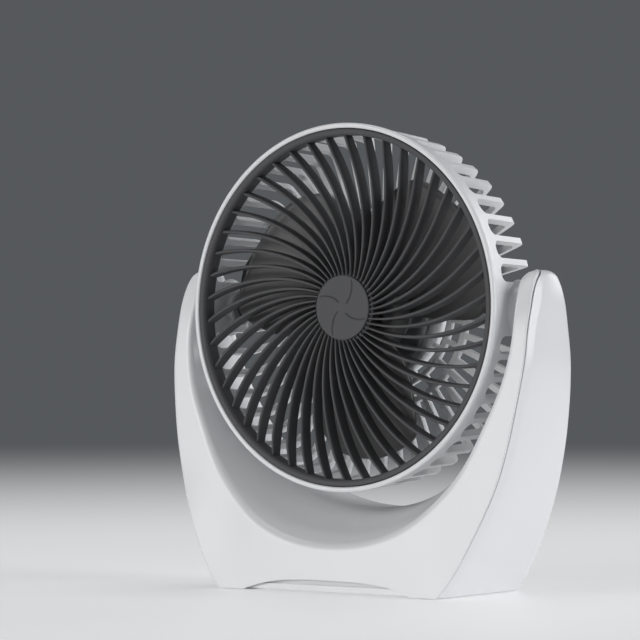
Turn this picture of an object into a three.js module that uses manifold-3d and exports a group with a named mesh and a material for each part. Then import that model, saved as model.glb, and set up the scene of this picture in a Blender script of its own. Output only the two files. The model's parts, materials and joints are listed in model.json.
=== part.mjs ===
// Desk fan: a yoke-shaped base that carries a tilting round fan head.
// Millimetres, +Z up, the fan blows towards -Y, +X is the right-hand arm seen from the front.
import * as THREE from 'three';
import { mergeVertices } from 'three/addons/utils/BufferGeometryUtils.js';
import Module from 'manifold-3d';

const wasm = await Module();
wasm.setup();

// ---------------------------------------------------------------- driving dimensions
const GAP = 0.3;                 // air kept between pieces that touch

// Head
const RING_R = 77.5;             // outside radius of the front lip
const HEAD_D = 34;               // depth of the rear basket
const FRONT_Y = -22;             // front plane of the head, from the tilt axis
const LIP_W = 2.2;               // white lip around the grille
const WALL_TAPER = 4.5;          // degrees by which the basket narrows to the rear
const SLOT_START = 8;            // closed ring between the front plane and the slots
const FIN_COUNT = 48;
const FIN_T = 3.3;
const FIN_D = 4.3;
const BAR_D = 3;                 // depth of the rear bars
const GRILLE_D = 7.6;
const GRILLE_RIM_W = 2.7;
const VANE_COUNT = 46;
const VANE_T = 1.24;
const HUB_R = 13.6;              // disc in the middle of the grille
const REST_TILT = 1.5;           // the head looks up a little at rest

// Rotor and motor
const BLADE_COUNT = 3;
const BLADE_T = 1.7;
const HUB_WALL = 1.8;            // wall of the impeller's hub
const MOTOR_R = 16;
const MOTOR_L = 11.1;
const SHAFT_R = 1.5;

// Base
const ARM_GAP = 7;               // free space between head and yoke
const FLOOR_H = 34.5;            // lowest point of the opening above the table
const BASE_DEPTH = 62.4;         // front edge to back edge at the bottom
const SHELL_T = 1.8;             // wall of the base shells
const FOOT_H = 0.8;              // the shells stand this far off the table
const PLATE_T = 2.4;             // bottom cover
const FOOT_R = 5;
const ARCH_H = 5.2;              // low arch along the front edge
const PIN_R = 6;                 // hollow tilt pin
const PIN_BORE = 2.6;

// Controls
const BUTTON_R = 6.4;
const BUTTON_Z = 17;
const BUTTON_TRAVEL = 0.8;
const LED_R = 1.4;
const LED_X = 15;
const USB_X = -24;
const USB_Z = 12;
const USB_W = 9.2;
const USB_H = 3.4;
const BOARD_T = 1.6;
const BOARD_HALF = 34;

// ---------------------------------------------------------------- derived dimensions
const DEG = Math.PI / 180;
const FAR = 200;                             // reach of cutters that run past everything
const OPEN_R = RING_R + ARM_GAP;             // inside radius of the yoke
const PIVOT_Z = OPEN_R + FLOOR_H;            // tilt axis above the table
const BACK_Y = FRONT_Y + HEAD_D;
const SLOT_Y = FRONT_Y + SLOT_START;
const GRILLE_R = RING_R - LIP_W - GAP;
const RIM_IN = GRILLE_R - GRILLE_RIM_W;
const wallR = (y) => RING_R - 0.2 - (y - FRONT_Y) * Math.tan(WALL_TAPER * DEG);

const ROTOR_R = MOTOR_R + 2.2 + HUB_WALL;    // the hub runs round the motor
const MOTOR_SCREW_R = MOTOR_R + 5.5;
const FLANGE_R = MOTOR_SCREW_R + 3.2;
const CUP_R = FLANGE_R + 5.3;                // cup that holds the motor
const RING_B = CUP_R + 4.5;                  // two rings of the rear lattice
const RING_A = RING_B + 7.5;
const CUP_Y = BACK_Y - BAR_D - 2.2;
const FLOOR_Y = BACK_Y - 2.4;
const CAN_REAR = FLOOR_Y - GAP;
const CAN_FRONT = CAN_REAR - MOTOR_L;
const HUB_FRONT = FRONT_Y + GRILLE_D + 2;
const BLADE_FRONT_AIR = 1.3;
const BLADE_REAR_AIR = 5.1;
const BLADE_D = HEAD_D - BAR_D - GRILLE_D - BLADE_FRONT_AIR - BLADE_REAR_AIR;
const BLADE_Y = FRONT_Y + GRILLE_D + BLADE_FRONT_AIR + BLADE_D / 2;

const ARM_IN = OPEN_R - 0.7;                 // inner face of the arms at the tilt axis
const ARM_PAD = 1.7;                         // the pin's pad stands this far out of the arm
const CAVITY_IN = ARM_IN + SHELL_T;          // inner side of the arm's hollow
const WASHER_T = 1.2;
const BOSS_R = PIN_R + 3.4;
const BOSS_OUT = ARM_IN - ARM_PAD - WASHER_T - 2 * GAP;
const PIVOT_ZONE = Math.asin((BOSS_R + 1.5) / wallR(0)) / DEG;   // closed wall beside each pin
const KEEPER_T = 1.3;
const KEEPER_R = PIN_R + 1.4;
// The fins turn the rear corner over these lengths, outside and inside.
const TURN_OUT = 3.2;
const TURN_IN = 3.4;
const TURN_REACH = 7;
const TURN_R = wallR(BACK_Y - TURN_OUT);
// The pin ends where its keeper clears the inside of the corner.
const PIN_IN = TURN_R - FIN_D - ((KEEPER_R - BACK_Y + BAR_D + TURN_IN) * (TURN_REACH - FIN_D)) / TURN_IN;
const PIN_HEAD_R = 4.4;
const PIN_HEAD_T = 2.2;
const PIN_SCREW_IN = PIN_IN - KEEPER_T - PIN_HEAD_T - 2 * GAP;
const BLADE_R = PIN_SCREW_IN - 1.3;          // the blade tips pass the pin screws
const LEAD_R = 0.9;
const LEAD_Y = BACK_Y - BAR_D - 2 * LEAD_R;

// ---------------------------------------------------------------- solids from geometries
// A closed geometry becomes a solid with its faces pointing out.
function toSolid(geometry) {
  const plain = geometry.index ? geometry.toNonIndexed() : geometry.clone();
  plain.deleteAttribute('normal');
  plain.deleteAttribute('uv');
  const merged = mergeVertices(plain, 1e-4);
  const vertProperties = new Float32Array(merged.attributes.position.array);
  const corner = (i) => new THREE.Vector3().fromArray(vertProperties, i * 3);
  const triangles = [];
  let volume = 0;
  for (let i = 0; i < merged.index.count; i += 3) {
    const [a, b, c] = [0, 1, 2].map((k) => merged.index.getX(i + k));
    if (a !== b && b !== c && c !== a) {
      triangles.push([a, b, c]);
      volume += corner(a).dot(corner(b).cross(corner(c)));
    }
  }
  const outward = volume > 0 ? triangles : triangles.map(([a, b, c]) => [a, c, b]);
  const triVerts = new Uint32Array(outward.flat());
  return new wasm.Manifold(new wasm.Mesh({ numProp: 3, vertProperties, triVerts }));
}

const join = (...list) => list.flat().reduce((a, b) => a.add(b));
const cut = (body, ...tools) => tools.flat().reduce((a, b) => a.subtract(b), body);
const mirrorX = (solid) => solid.mirror([1, 0, 0]);

// Turns a solid made along Y so that it lies along another axis.
const TURN = { x: [0, 0, -90], y: [0, 0, 0], z: [90, 0, 0] };

// Revolve of [radius, place along the axis] pairs; the outline closes on itself.
function lathe(axis, outline, segments = 48) {
  const points = [...outline, outline[0]].map(([r, along]) => new THREE.Vector2(r, along));
  return toSolid(new THREE.LatheGeometry(points, segments)).rotate(TURN[axis]);
}

function disc(axis, radius, from, to, segments = 32) {
  const cylinder = new THREE.CylinderGeometry(radius, radius, to - from, segments);
  cylinder.translate(0, (from + to) / 2, 0);
  return toSolid(cylinder).rotate(TURN[axis]);
}

const tube = (axis, inner, outer, from, to, segments = 32) => lathe(axis,
  [[inner, from], [outer, from], [outer, to], [inner, to]], segments);

function box([x0, x1], [y0, y1], [z0, z1]) {
  const block = new THREE.BoxGeometry(x1 - x0, y1 - y0, z1 - z0);
  block.translate((x0 + x1) / 2, (y0 + y1) / 2, (z0 + z1) / 2);
  return toSolid(block);
}

// Extrudes an outline of [u, v] pairs along +Z.
function prism(outline, height) {
  const shape = new THREE.Shape(outline.map(([u, v]) => new THREE.Vector2(u, v)));
  return toSolid(new THREE.ExtrudeGeometry(shape, { depth: height, bevelEnabled: false }));
}

// Extrudes an X-Z outline along Y.
const throughY = (outline, from, to) => prism(outline, to - from).rotate([90, 0, 0]).translate([0, to, 0]);

// Stadium outline with rounded ends.
function stadium(x, z, width, height) {
  const steps = 6;
  const r = height / 2;
  const points = [];
  for (const [side, start] of [[1, -90], [-1, 90]]) {
    for (let k = 0; k <= steps; k += 1) {
      const a = (start + (k * 180) / steps) * DEG;
      points.push([x + side * (width / 2 - r) + r * Math.cos(a), z + r * Math.sin(a)]);
    }
  }
  return points;
}

// Round wire along a smooth curve.
function wire(points, radius, steps = 16, sides = 6) {
  const curve = new THREE.CatmullRomCurve3(points.map((p) => new THREE.Vector3(...p)));
  const circle = new THREE.Shape(Array.from({ length: sides }, (_, i) => {
    const a = (i / sides) * 2 * Math.PI;
    return new THREE.Vector2(radius * Math.cos(a), radius * Math.sin(a));
  }));
  return toSolid(new THREE.ExtrudeGeometry(circle, { steps, extrudePath: curve }));
}

// Skin over a row of equal-length loops of points. The end caps are 'fan' (about their middle) or 'strip'
// (for thin loops that run out along one face and back along the other).
function loft(loops, cap = 'fan') {
  const n = loops[0].length;
  const points = loops.flat();
  const triangles = [];
  for (let i = 0; i < loops.length - 1; i += 1) {
    for (let j = 0; j < n; j += 1) {
      const [a, b] = [i * n + j, i * n + ((j + 1) % n)];
      triangles.push(a, b, b + n, a, b + n, a + n);
    }
  }
  for (const [loop, reverse] of [[0, true], [loops.length - 1, false]]) {
    const at = loop * n;
    const face = (a, b, c) => triangles.push(...(reverse ? [a, c, b] : [a, b, c]));
    if (cap === 'strip') {
      for (let j = 0; j < n / 2 - 1; j += 1) {
        face(at + j, at + j + 1, at + n - 2 - j);
        face(at + j, at + n - 2 - j, at + n - 1 - j);
      }
    } else {
      points.push([0, 1, 2].map((c) => loops[loop].reduce((sum, p) => sum + p[c], 0) / n));
      for (let j = 0; j < n; j += 1) face(points.length - 1, at + j, at + ((j + 1) % n));
    }
  }
  const geometry = new THREE.BufferGeometry();
  geometry.setAttribute('position', new THREE.Float32BufferAttribute(points.flat(), 3));
  geometry.setIndex(triangles);
  return toSolid(geometry);
}

// ---------------------------------------------------------------- curves
// Smooth monotone interpolation through [x, y] pairs, held level outside the range.
function curveOf(pairs) {
  const x = pairs.map((p) => p[0]);
  const y = pairs.map((p) => p[1]);
  const last = x.length - 1;
  const slope = x.slice(1).map((v, i) => (y[i + 1] - y[i]) / (v - x[i]));
  const tangent = x.map((_, i) => {
    if (i === 0) return slope[0];
    if (i === last) return slope[last - 1];
    const [a, b] = [slope[i - 1], slope[i]];
    return a * b <= 0 ? 0 : (2 * a * b) / (a + b);
  });
  return (at) => {
    if (at <= x[0]) return y[0];
    if (at >= x[last]) return y[last];
    const i = x.findIndex((v, k) => at < x[k + 1]);
    const h = x[i + 1] - x[i];
    const t = (at - x[i]) / h;
    return y[i] * (1 + 2 * t) * (1 - t) ** 2 + tangent[i] * h * t * (1 - t) ** 2
      + y[i + 1] * t * t * (3 - 2 * t) + tangent[i + 1] * h * t * t * (t - 1);
  };
}

const smooth = THREE.MathUtils.smoothstep;

// Rounds the corners of an outline given as [[r, y], reach, steps].
function rounded(corners) {
  return corners.flatMap(([point, reach, steps], i) => {
    if (!steps) return [point];
    const here = new THREE.Vector2(...point);
    const before = new THREE.Vector2(...corners.at(i - 1)[0]).sub(here);
    const after = new THREE.Vector2(...corners[(i + 1) % corners.length][0]).sub(here);
    const length = Math.min(reach, 0.45 * before.length(), 0.45 * after.length());
    const arc = new THREE.QuadraticBezierCurve(before.setLength(length).add(here), here,
      after.setLength(length).add(here));
    return arc.getPoints(steps).map((p) => [p.x, p.y]);
  });
}

// Moves every edge of an outline inwards and returns the new corners.
function inset(outline, distance) {
  const n = outline.length;
  const sign = THREE.ShapeUtils.area(outline.map(([x, y]) => ({ x, y }))) > 0 ? 1 : -1;
  const edge = (i) => {
    const [p, q] = [outline[i % n], outline[(i + 1) % n]];
    const length = Math.hypot(q[0] - p[0], q[1] - p[1]);
    const normal = [-(q[1] - p[1]) / length * sign, (q[0] - p[0]) / length * sign];
    return { normal, offset: normal[0] * p[0] + normal[1] * p[1] + distance };
  };
  return outline.map((_, i) => {
    const [e, f] = [edge(i + n - 1), edge(i)];
    const det = e.normal[0] * f.normal[1] - e.normal[1] * f.normal[0];
    const straight = Math.abs(det) < 1e-3;
    if (straight) return outline[i].map((v, axis) => v + f.normal[axis] * distance);
    return [(e.offset * f.normal[1] - f.offset * e.normal[1]) / det,
      (e.normal[0] * f.offset - f.normal[0] * e.offset) / det];
  });
}

const polar = (radius, angle) => [radius * Math.cos(angle * DEG), 0, radius * Math.sin(angle * DEG)];

// ---------------------------------------------------------------- shape of the yoke
// The yoke is a ring section swept about the tilt centre; the angle is taken from straight down.
const TIP_ANGLE = 100.8;
const TIP_ROUND = 2.3;
// Distance of the front rim's inner and outer edge beyond the opening.
const innerFront = curveOf([[0, 14.5], [10, 14.5], [16, 14.1], [24, 13.1], [32, 10.3], [40, 7.9], [48, 4.9],
  [57, 2.5], [69, 1.5], [83, 0.1], [92, -1.2], [101, -1.2]]);
const outerEdge = curveOf([[0, 46.5], [14, 50], [20, 50.5], [25.7, 46.6], [37, 33.9], [48.9, 23],
  [56.5, 17.2], [66, 11.6], [76.3, 8.1], [86.8, 5.9], [92.2, 6], [97.8, 5.7], [101, 5.7]]);
// Depth of the front and rear faces from the tilt axis, by height on a yoke that is 119 to the axis.
const TABLE_PIVOT_Z = 119;
const TABLE_FLOOR_H = 34.5;
const TABLE_DEPTH = 62.4;
const frontFace = curveOf([[-12, -34.4], [0.9, -32.9], [24.5, -30.1], [48.3, -25.9], [62.8, -24.3],
  [79.9, -22.4], [97, -19.9], [114, -16.9], [122.4, -14.2], [128, -11.8], [131.1, -9.7], [133.4, -6.8],
  [134.9, -3.7], [135.6, -0.4]]);
const rearFace = curveOf([[-12, 30.6], [0, 29.5], [21.6, 27.2], [46.1, 24.7], [78.7, 22.2], [94.5, 20.4],
  [104.9, 19.2], [113.7, 17.9], [121.6, 16.2], [127.4, 14.7], [131.1, 12.9], [133.9, 9.8],
  [135.2, 5.6], [135.6, 0.2]]);
const FRONT_BOW = 0.8;           // the bottom front edge bulges forward in the middle
const REAR_TAPER = 0.9;          // the sides draw in towards the rear

const depthOf = (face, z) => (face(z * (TABLE_PIVOT_Z / PIVOT_Z)) * BASE_DEPTH) / TABLE_DEPTH;
const EDGE_ROUNDING = 0.7;       // what rounding takes off the bowed edge
// The tilt axis lies where the base's footprint is centred on the origin.
const PIVOT_Y = -(depthOf(frontFace, FOOT_H) - FRONT_BOW + EDGE_ROUNDING + depthOf(rearFace, FOOT_H)) / 2;
const frontY = (z) => PIVOT_Y + depthOf(frontFace, z);
const rearY = (z) => PIVOT_Y + depthOf(rearFace, z);

// The outer edge grows with the height of the block under the head.
function outerRadius(angle) {
  const low = 1 - smooth(angle, 26, 60);
  return OPEN_R + outerEdge(angle) * (1 + low * (FLOOR_H / TABLE_FLOOR_H - 1));
}

// Corners of the section at one angle, as [distance from the tilt centre, depth].
function sectionCorners(angle) {
  const f = Math.abs(angle);
  const inner = OPEN_R + innerFront(f);
  const outer = outerRadius(f);
  const rear = outer - REAR_TAPER * smooth(f, 26, 60);
  const side = outer + 0.9 * smooth(f, 26, 45);
  const middle = (inner + outer) / 2;
  const level = smooth(f, 75, 90);
  const heightOf = (r) => PIVOT_Z - (r + (middle - r) * level) * Math.cos(f * DEG);
  const t = THREE.MathUtils.clamp((f - TIP_ANGLE + TIP_ROUND) / TIP_ROUND, 0, 1);
  const squash = Math.sqrt(1 - t * t) * 0.97 + 0.03;
  const flat = (r) => middle + (r - middle) * squash;
  const bow = FRONT_BOW * (1 - smooth(f, 0, 26));
  const c = {
    frontInner: [flat(inner), frontY(heightOf(inner))],
    frontOuter: [flat(outer), frontY(heightOf(outer)) - bow],
    rearOuter: [flat(rear), rearY(heightOf(rear))],
    rearInner: [flat(OPEN_R), rearY(heightOf(OPEN_R))],
  };
  const depth = c.rearInner[1] - c.frontInner[1];
  const hollow = Math.min(0.5, 0.2 + (Math.max(0, inner - OPEN_R) * 1.15) / depth);
  c.side = [flat(side), c.frontOuter[1] * 0.55 + c.rearOuter[1] * 0.45];
  c.saddle = [flat(OPEN_R - 0.1), c.frontInner[1] + depth * hollow];
  return c;
}

const onSection = (angle) => ([r, y]) => [r * Math.sin(angle * DEG), y, PIVOT_Z - r * Math.cos(angle * DEG)];

const HALF_STATIONS = [0, 9, 17, 22, 25.7, 30, 36, 43, 51, 59, 67, 75, 83, 89, 93, 96.5, 98.6, 99.8, 100.5,
  100.78];
const bothSides = (list) => [...list.slice(1).reverse().map((v) => -v), ...list];

function yokeOuter() {
  return loft(bothSides(HALF_STATIONS).map((angle) => {
    const c = sectionCorners(angle);
    return rounded([[c.frontInner, 2.2, 2], [c.frontOuter, 1.8, 1], [c.side, 0, 0], [c.rearOuter, 4, 2],
      [c.rearInner, 3, 1], [c.saddle, 9, 2]]).map(onSection(angle));
  }));
}

const CAVITY_ANGLE = 96.5;
function yokeCavity(wall) {
  const list = [...HALF_STATIONS.filter((a) => a < CAVITY_ANGLE - 1), CAVITY_ANGLE];
  return loft(bothSides(list).map((angle) => {
    const c = sectionCorners(angle);
    const corners = [c.frontInner, c.frontOuter, c.rearOuter, c.rearInner, c.saddle];
    return inset(corners, wall).map(onSection(angle));
  }));
}

// Everything in front of, or behind, the stepped seam between the two shells.
function seamSide(front) {
  const list = [...HALF_STATIONS.filter((a) => a < 100), 106];
  const shift = front ? 0 : GAP;
  const far = front ? -FAR : FAR;
  return loft(bothSides(list).map((angle) => {
    const c = sectionCorners(Math.min(Math.abs(angle), 100));
    const [inner, outer] = [c.rearInner[0], c.frontOuter[0]];
    const outerSeam = Math.min(c.frontOuter[1] + 1.5, c.rearOuter[1] - 6) + shift;
    const innerSeam = c.rearInner[1] - 5 - 8 * (1 - smooth(Math.abs(angle), 35, 60)) + shift;
    // The step lies in the hollow between the walls, where there is one.
    const widest = 0.42 * (outer - inner);
    const stepIn = inner + Math.min(SHELL_T + 0.5, widest);
    const stepOut = outer - Math.min(SHELL_T + 0.2, widest);
    return [[inner - 14, far], [outer + 14, far], [outer + 14, outerSeam], [stepOut, outerSeam],
      [stepIn, innerSeam], [inner - 14, innerSeam]].map(onSection(angle));
  }));
}

// ---------------------------------------------------------------- base layout
// Half width of the base where its sides meet the table.
function halfWidthAtTable() {
  let [low, high] = [20, 60];
  while (high - low > 0.01) {
    const angle = (low + high) / 2;
    if (outerRadius(angle) * Math.cos(angle * DEG) > PIVOT_Z - FOOT_H) low = angle;
    else high = angle;
  }
  return outerRadius(low) * Math.sin(low * DEG);
}
const X_HALF = halfWidthAtTable();
const FRONT_EDGE = frontY(FOOT_H);
const REAR_EDGE = rearY(FOOT_H);
const COVER_TOP = FOOT_H + PLATE_T;
const CORNERS = [[-1, 0], [1, 0], [-1, 1], [1, 1]];
const feet = CORNERS.map(([side, back]) => [side * (X_HALF - FOOT_R - 5.5),
  back ? REAR_EDGE - FOOT_R - 4.5 : FRONT_EDGE + FOOT_R + 5]);
const BUTTON_FACE = rearY(BUTTON_Z);
const BUTTON_BACK = 4.6;                      // depth of the button behind the wall's face
const BOARD_Y = BUTTON_FACE - 12.2;           // rear side of the control board
const COVER_SCREW_X = X_HALF - FOOT_R - 18;
const COVER_SCREW_HEAD = 3;
const COVER_SCREW_SHANK = 1.4;
const COVER_POST_R = COVER_SCREW_SHANK + 2;
const coverScrews = CORNERS.map(([side, back]) => [side * COVER_SCREW_X,
  back ? BOARD_Y + COVER_POST_R + GAP : FRONT_EDGE + 14]);
const ARCH_HALF = X_HALF - 14;
const ARCH_POWER = 3.2;                       // how square the arch's shoulders are

const CAVITY_OUT = outerRadius(TIP_ANGLE) - REAR_TAPER - SHELL_T;     // outer side of the arm's hollow
const PIN_END = CAVITY_OUT - GAP;

const BOARD_BOTTOM = COVER_TOP + 2.6;
const BOARD_TOP = BUTTON_Z + 10.5;
const BOARD_SCREW_SHANK = 1.2;
const BOARD_SCREW_HEAD = 1.4;
const boardScrews = [-1, 1].map((side) => [side * (BOARD_HALF - 5), BOARD_TOP - 5]);
const BALLAST_HALF = COVER_SCREW_X - COVER_POST_R - GAP;
const BALLAST_REAR = BOARD_Y - BOARD_T - 8.8;
const SWITCH_TOP = BUTTON_FACE - BUTTON_BACK - GAP - 2 * BUTTON_TRAVEL;

// ---------------------------------------------------------------- base pieces
function archCutter() {
  const steps = 12;
  const arch = Array.from({ length: steps + 1 }, (_, i) => {
    const t = 1 - (2 * i) / steps;
    return [t * ARCH_HALF, FOOT_H + ARCH_H * (1 - Math.abs(t) ** ARCH_POWER)];
  });
  return throughY([[-ARCH_HALF, -ARCH_H], [ARCH_HALF, -ARCH_H], ...arch], -FAR, FRONT_EDGE + 5);
}

// Pads that carry the tilt pins, the seats of the pins' flanges inside the arms, and the air round the pads.
function armPads() {
  const pad = disc('x', BOSS_R, ARM_IN - ARM_PAD, CAVITY_IN - 0.4, 24);
  const clearance = disc('x', BOSS_R + GAP, ARM_IN - ARM_PAD, CAVITY_IN, 24);
  const hole = join(disc('x', PIN_R + GAP, ARM_IN - 4, CAVITY_IN + 1, 24),
    disc('x', PIN_R + 3, CAVITY_IN, PIN_END + GAP, 24));
  const place = (solid) => [solid, mirrorX(solid)].map((s) => s.translate([0, PIVOT_Y, PIVOT_Z]));
  return { pads: place(pad), holes: place(hole), clearances: place(clearance) };
}

// Posts that hang from the roof down to the bottom cover, with their screw holes.
function coverPost([x, y], outside) {
  const post = disc('z', COVER_POST_R, COVER_TOP + GAP, PIVOT_Z - OPEN_R / 2, 8).translate([x, y, 0]);
  const bore = disc('z', COVER_SCREW_SHANK + 0.4, FOOT_H, COVER_TOP + 10, 8).translate([x, y, 0]);
  return { post: post.intersect(outside), bore };
}

function buildShells() {
  const outside = yokeOuter();
  const ground = box([-FAR, FAR], [-FAR, FAR], [-FAR, FOOT_H]);
  const hollow = cut(outside, yokeCavity(SHELL_T), ground, archCutter());
  const posts = coverScrews.map((at) => coverPost(at, outside));
  const frontPosts = posts.slice(0, 2);
  const rearPosts = posts.slice(2);

  const { pads, holes, clearances } = armPads();
  const front = cut(join(hollow.intersect(seamSide(true)), pads, frontPosts.map((p) => p.post)), holes,
    frontPosts.map((p) => p.bore));

  // Button seat, light, socket and board posts on the back wall.
  const seat = disc('y', BUTTON_R + 3.2, BUTTON_FACE - 2.6, BUTTON_FACE + 0.2, 24)
    .translate([0, 0, BUTTON_Z]);
  const from = BUTTON_FACE - 6;
  const to = BUTTON_FACE + 5;
  const openings = [
    disc('y', BUTTON_R + GAP, from, to, 24).translate([0, 0, BUTTON_Z]),
    disc('y', LED_R + GAP, from, to, 16).translate([LED_X, 0, BUTTON_Z]),
    throughY(stadium(USB_X, USB_Z, USB_W + 2 * GAP, USB_H + 2 * GAP), from, to),
  ];
  const boardPosts = boardScrews.map(([x, z]) => {
    const post = disc('y', BOARD_SCREW_SHANK + 1.8, BOARD_Y + GAP, rearY(z) - 0.6, 10);
    const bore = disc('y', BOARD_SCREW_SHANK + 0.4, BOARD_Y, rearY(z) - 3.6, 8);
    return cut(post, bore).translate([x, 0, z]);
  });
  const rear = cut(join(hollow.intersect(seamSide(false)), rearPosts.map((p) => p.post), seat, boardPosts),
    rearPosts.map((p) => p.bore), openings, clearances);
  return { front, rear };
}

function buildCover() {
  const plate = yokeCavity(SHELL_T + GAP).intersect(box([-FAR, FAR], [-FAR, FAR], [FOOT_H, COVER_TOP]));
  // Upright lip that closes the arch from inside.
  const lipY = FRONT_EDGE + SHELL_T + 4 * GAP;
  const lip = box([-ARCH_HALF - 2, ARCH_HALF + 2], [lipY, lipY + 1.8], [FOOT_H, FOOT_H + ARCH_H + 1.6]);
  const screwHole = join(disc('z', COVER_SCREW_SHANK + 0.5, 0, COVER_TOP + 5, 8),
    disc('z', COVER_SCREW_HEAD + 0.5, -1, FOOT_H + 1.3, 12));
  const footHole = join(disc('z', FOOT_R / 2 - GAP, 0, COVER_TOP + 5, 8),
    disc('z', FOOT_R + GAP, -1, 2 * FOOT_H, 16));
  return cut(join(plate, lip), coverScrews.map(([x, y]) => screwHole.translate([x, y, 0])),
    feet.map(([x, y]) => footHole.translate([x, y, 0])));
}

// Round foot with a plug that fills the hole in the cover.
function buildFoot() {
  const top = 2 * FOOT_H - GAP;
  const pad = lathe('z', [[0, 0], [FOOT_R - 0.5, 0], [FOOT_R, 0.5], [FOOT_R, top], [0, top]], 16);
  return join(pad, disc('z', FOOT_R / 2 - 2 * GAP, 1, COVER_TOP - 0.2, 8));
}

// Pan-head screw with a square drive: its head starts at the origin and its thread runs up the axis.
function screw(axis, headR, headT, shankR, length) {
  const body = lathe('y', [[0, 0], [headR, 0], [headR, headT], [shankR, headT], [shankR, headT + length],
    [0, headT + length]], 10);
  const half = headR * 0.36;
  return cut(body, box([-half, half], [-1, headT * 0.6], [-half, half])).rotate(TURN[axis]);
}

// Button cap, measured from the wall's face: flange inside, dished face outside.
function buildButton() {
  const flange = BUTTON_R + 1.3;
  const back = -BUTTON_BACK;
  return lathe('y', [[0, back], [flange, back], [flange, back + 1.4], [BUTTON_R, back + 1.4], [BUTTON_R, 0.9],
    [BUTTON_R - 0.7, 1.5], [2, 1.1], [0, 1.1]], 24);
}

function buildSwitch() {
  const body = box([-3, 3], [BOARD_Y + GAP, SWITCH_TOP], [BUTTON_Z - 3, BUTTON_Z + 3]);
  const well = disc('y', 1.9, SWITCH_TOP - 2.2, SWITCH_TOP + 1, 16).translate([0, 0, BUTTON_Z]);
  return cut(body, well);
}
const buildStem = () => disc('y', 1.6, -1, 2 * BUTTON_TRAVEL, 16);

const USB_FRONT = BOARD_Y + GAP;
const USB_REAR = rearY(USB_Z) - GAP;
const USB_WALL = 0.35;
const USB_FLOOR = 3;
function buildUsbShell() {
  const outer = throughY(stadium(0, 0, USB_W, USB_H), USB_FRONT, USB_REAR);
  const mouth = stadium(0, 0, USB_W - 2 * USB_WALL, USB_H - 2 * USB_WALL);
  return cut(outer, throughY(mouth, USB_FRONT + USB_FLOOR, USB_REAR + 1));
}
const buildUsbTongue = () => box([-3.2, 3.2], [USB_FRONT + USB_FLOOR + GAP, USB_REAR - 1.2],
  [-USB_WALL, USB_WALL]);

function buildBoard() {
  const plate = box([-BOARD_HALF, BOARD_HALF], [BOARD_Y - BOARD_T, BOARD_Y], [BOARD_BOTTOM, BOARD_TOP]);
  const hole = disc('y', BOARD_SCREW_SHANK + 0.5, BOARD_Y - 9, BOARD_Y + 9, 12);
  return cut(plate, boardScrews.map(([x, z]) => hole.translate([x, 0, z])));
}

const buildBallast = () => box([-BALLAST_HALF, BALLAST_HALF], [FRONT_EDGE + 10, BALLAST_REAR],
  [COVER_TOP + GAP, COVER_TOP + 5]);

// Hollow pin with a flange inside the arm.
const buildPin = () => lathe('x', [[PIN_BORE, PIN_IN], [PIN_R, PIN_IN], [PIN_R, CAVITY_IN + GAP],
  [PIN_R + 2.6, CAVITY_IN + GAP], [PIN_R + 2.6, PIN_END], [PIN_BORE, PIN_END]], 24);

// ---------------------------------------------------------------- head pieces
// The head's own frame has its origin on the tilt axis, halfway between the pins.

// Outline of a fin, a side bar that turns the rear corner, as [radius, depth].
function finOutline() {
  const root = FRONT_Y + GRILLE_D + 0.6;
  const seat = GRILLE_R + 2 * GAP;
  const inside = BACK_Y - BAR_D;
  return [[wallR(SLOT_Y) - 0.3, SLOT_Y - 2], [TURN_R, BACK_Y - TURN_OUT], [TURN_R - 0.9, BACK_Y - 1],
    [TURN_R - TURN_OUT, BACK_Y], [RING_A, BACK_Y], [RING_A, inside], [TURN_R - TURN_REACH, inside],
    [TURN_R - FIN_D, inside - TURN_IN], [wallR(root) - FIN_D, root], [seat, root], [seat, SLOT_Y - 2]];
}

// Straight bar of the rear lattice between two radii.
function bar(from, to, width, angle, drop = 0) {
  return box([from, to], [BACK_Y - BAR_D + drop, BACK_Y - drop], [-width / 2, width / 2])
    .rotate([0, -angle, 0]);
}

function basketFins() {
  const fin = prism(finOutline(), FIN_T).translate([0, 0, -FIN_T / 2]);
  return Array.from({ length: FIN_COUNT }, (_, k) => {
    const angle = (k * 360) / FIN_COUNT;
    const fromPin = Math.abs(((angle + 90) % 180) - 90);
    return fromPin > PIVOT_ZONE ? fin.rotate([0, -angle, 0]) : bar(RING_A, TURN_R - TURN_REACH, FIN_T, angle);
  });
}

// Closed stretch of wall with the boss that takes the tilt pin.
function pivotWall() {
  const steps = 4;
  const withoutBars = finOutline().filter(([r]) => r > RING_A);
  const plate = loft(Array.from({ length: steps + 1 }, (_, i) => {
    const a = PIVOT_ZONE * ((2 * i) / steps - 1);
    return withoutBars.map(([r, y]) => [r * Math.cos(a * DEG), y, r * Math.sin(a * DEG)]);
  }));
  return join(plate, disc('x', BOSS_R, wallR(0) - FIN_D + 0.6, BOSS_OUT, 24));
}

// Rings, staggered bars and motor cup of the back.
function rearLattice() {
  const pitch = 720 / FIN_COUNT;
  const bars = Array.from({ length: FIN_COUNT / 2 },
    (_, k) => bar(RING_B, RING_A, 1.8, (k + 0.5) * pitch, 0.2));
  const spokes = Array.from({ length: FIN_COUNT / 4 },
    (_, k) => bar(CUP_R - 1, RING_B, 2.2, 2 * k * pitch, 0.2));
  const rings = [
    tube('y', RING_A - 1.2, RING_A + 1.2, BACK_Y - BAR_D, BACK_Y, 48),
    tube('y', RING_B - 1, RING_B + 1, BACK_Y - BAR_D, BACK_Y, 24),
  ];
  const inside = CUP_R - 2;
  const cup = lathe('y', [[inside, CUP_Y], [CUP_R, CUP_Y], [CUP_R, BACK_Y + 2], [inside, BACK_Y + 2],
    [inside, FLOOR_Y + 2.2], [0, FLOOR_Y + 2.2], [0, FLOOR_Y], [inside, FLOOR_Y]], 32);
  return [...bars, ...spokes, ...rings, cup];
}

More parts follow.
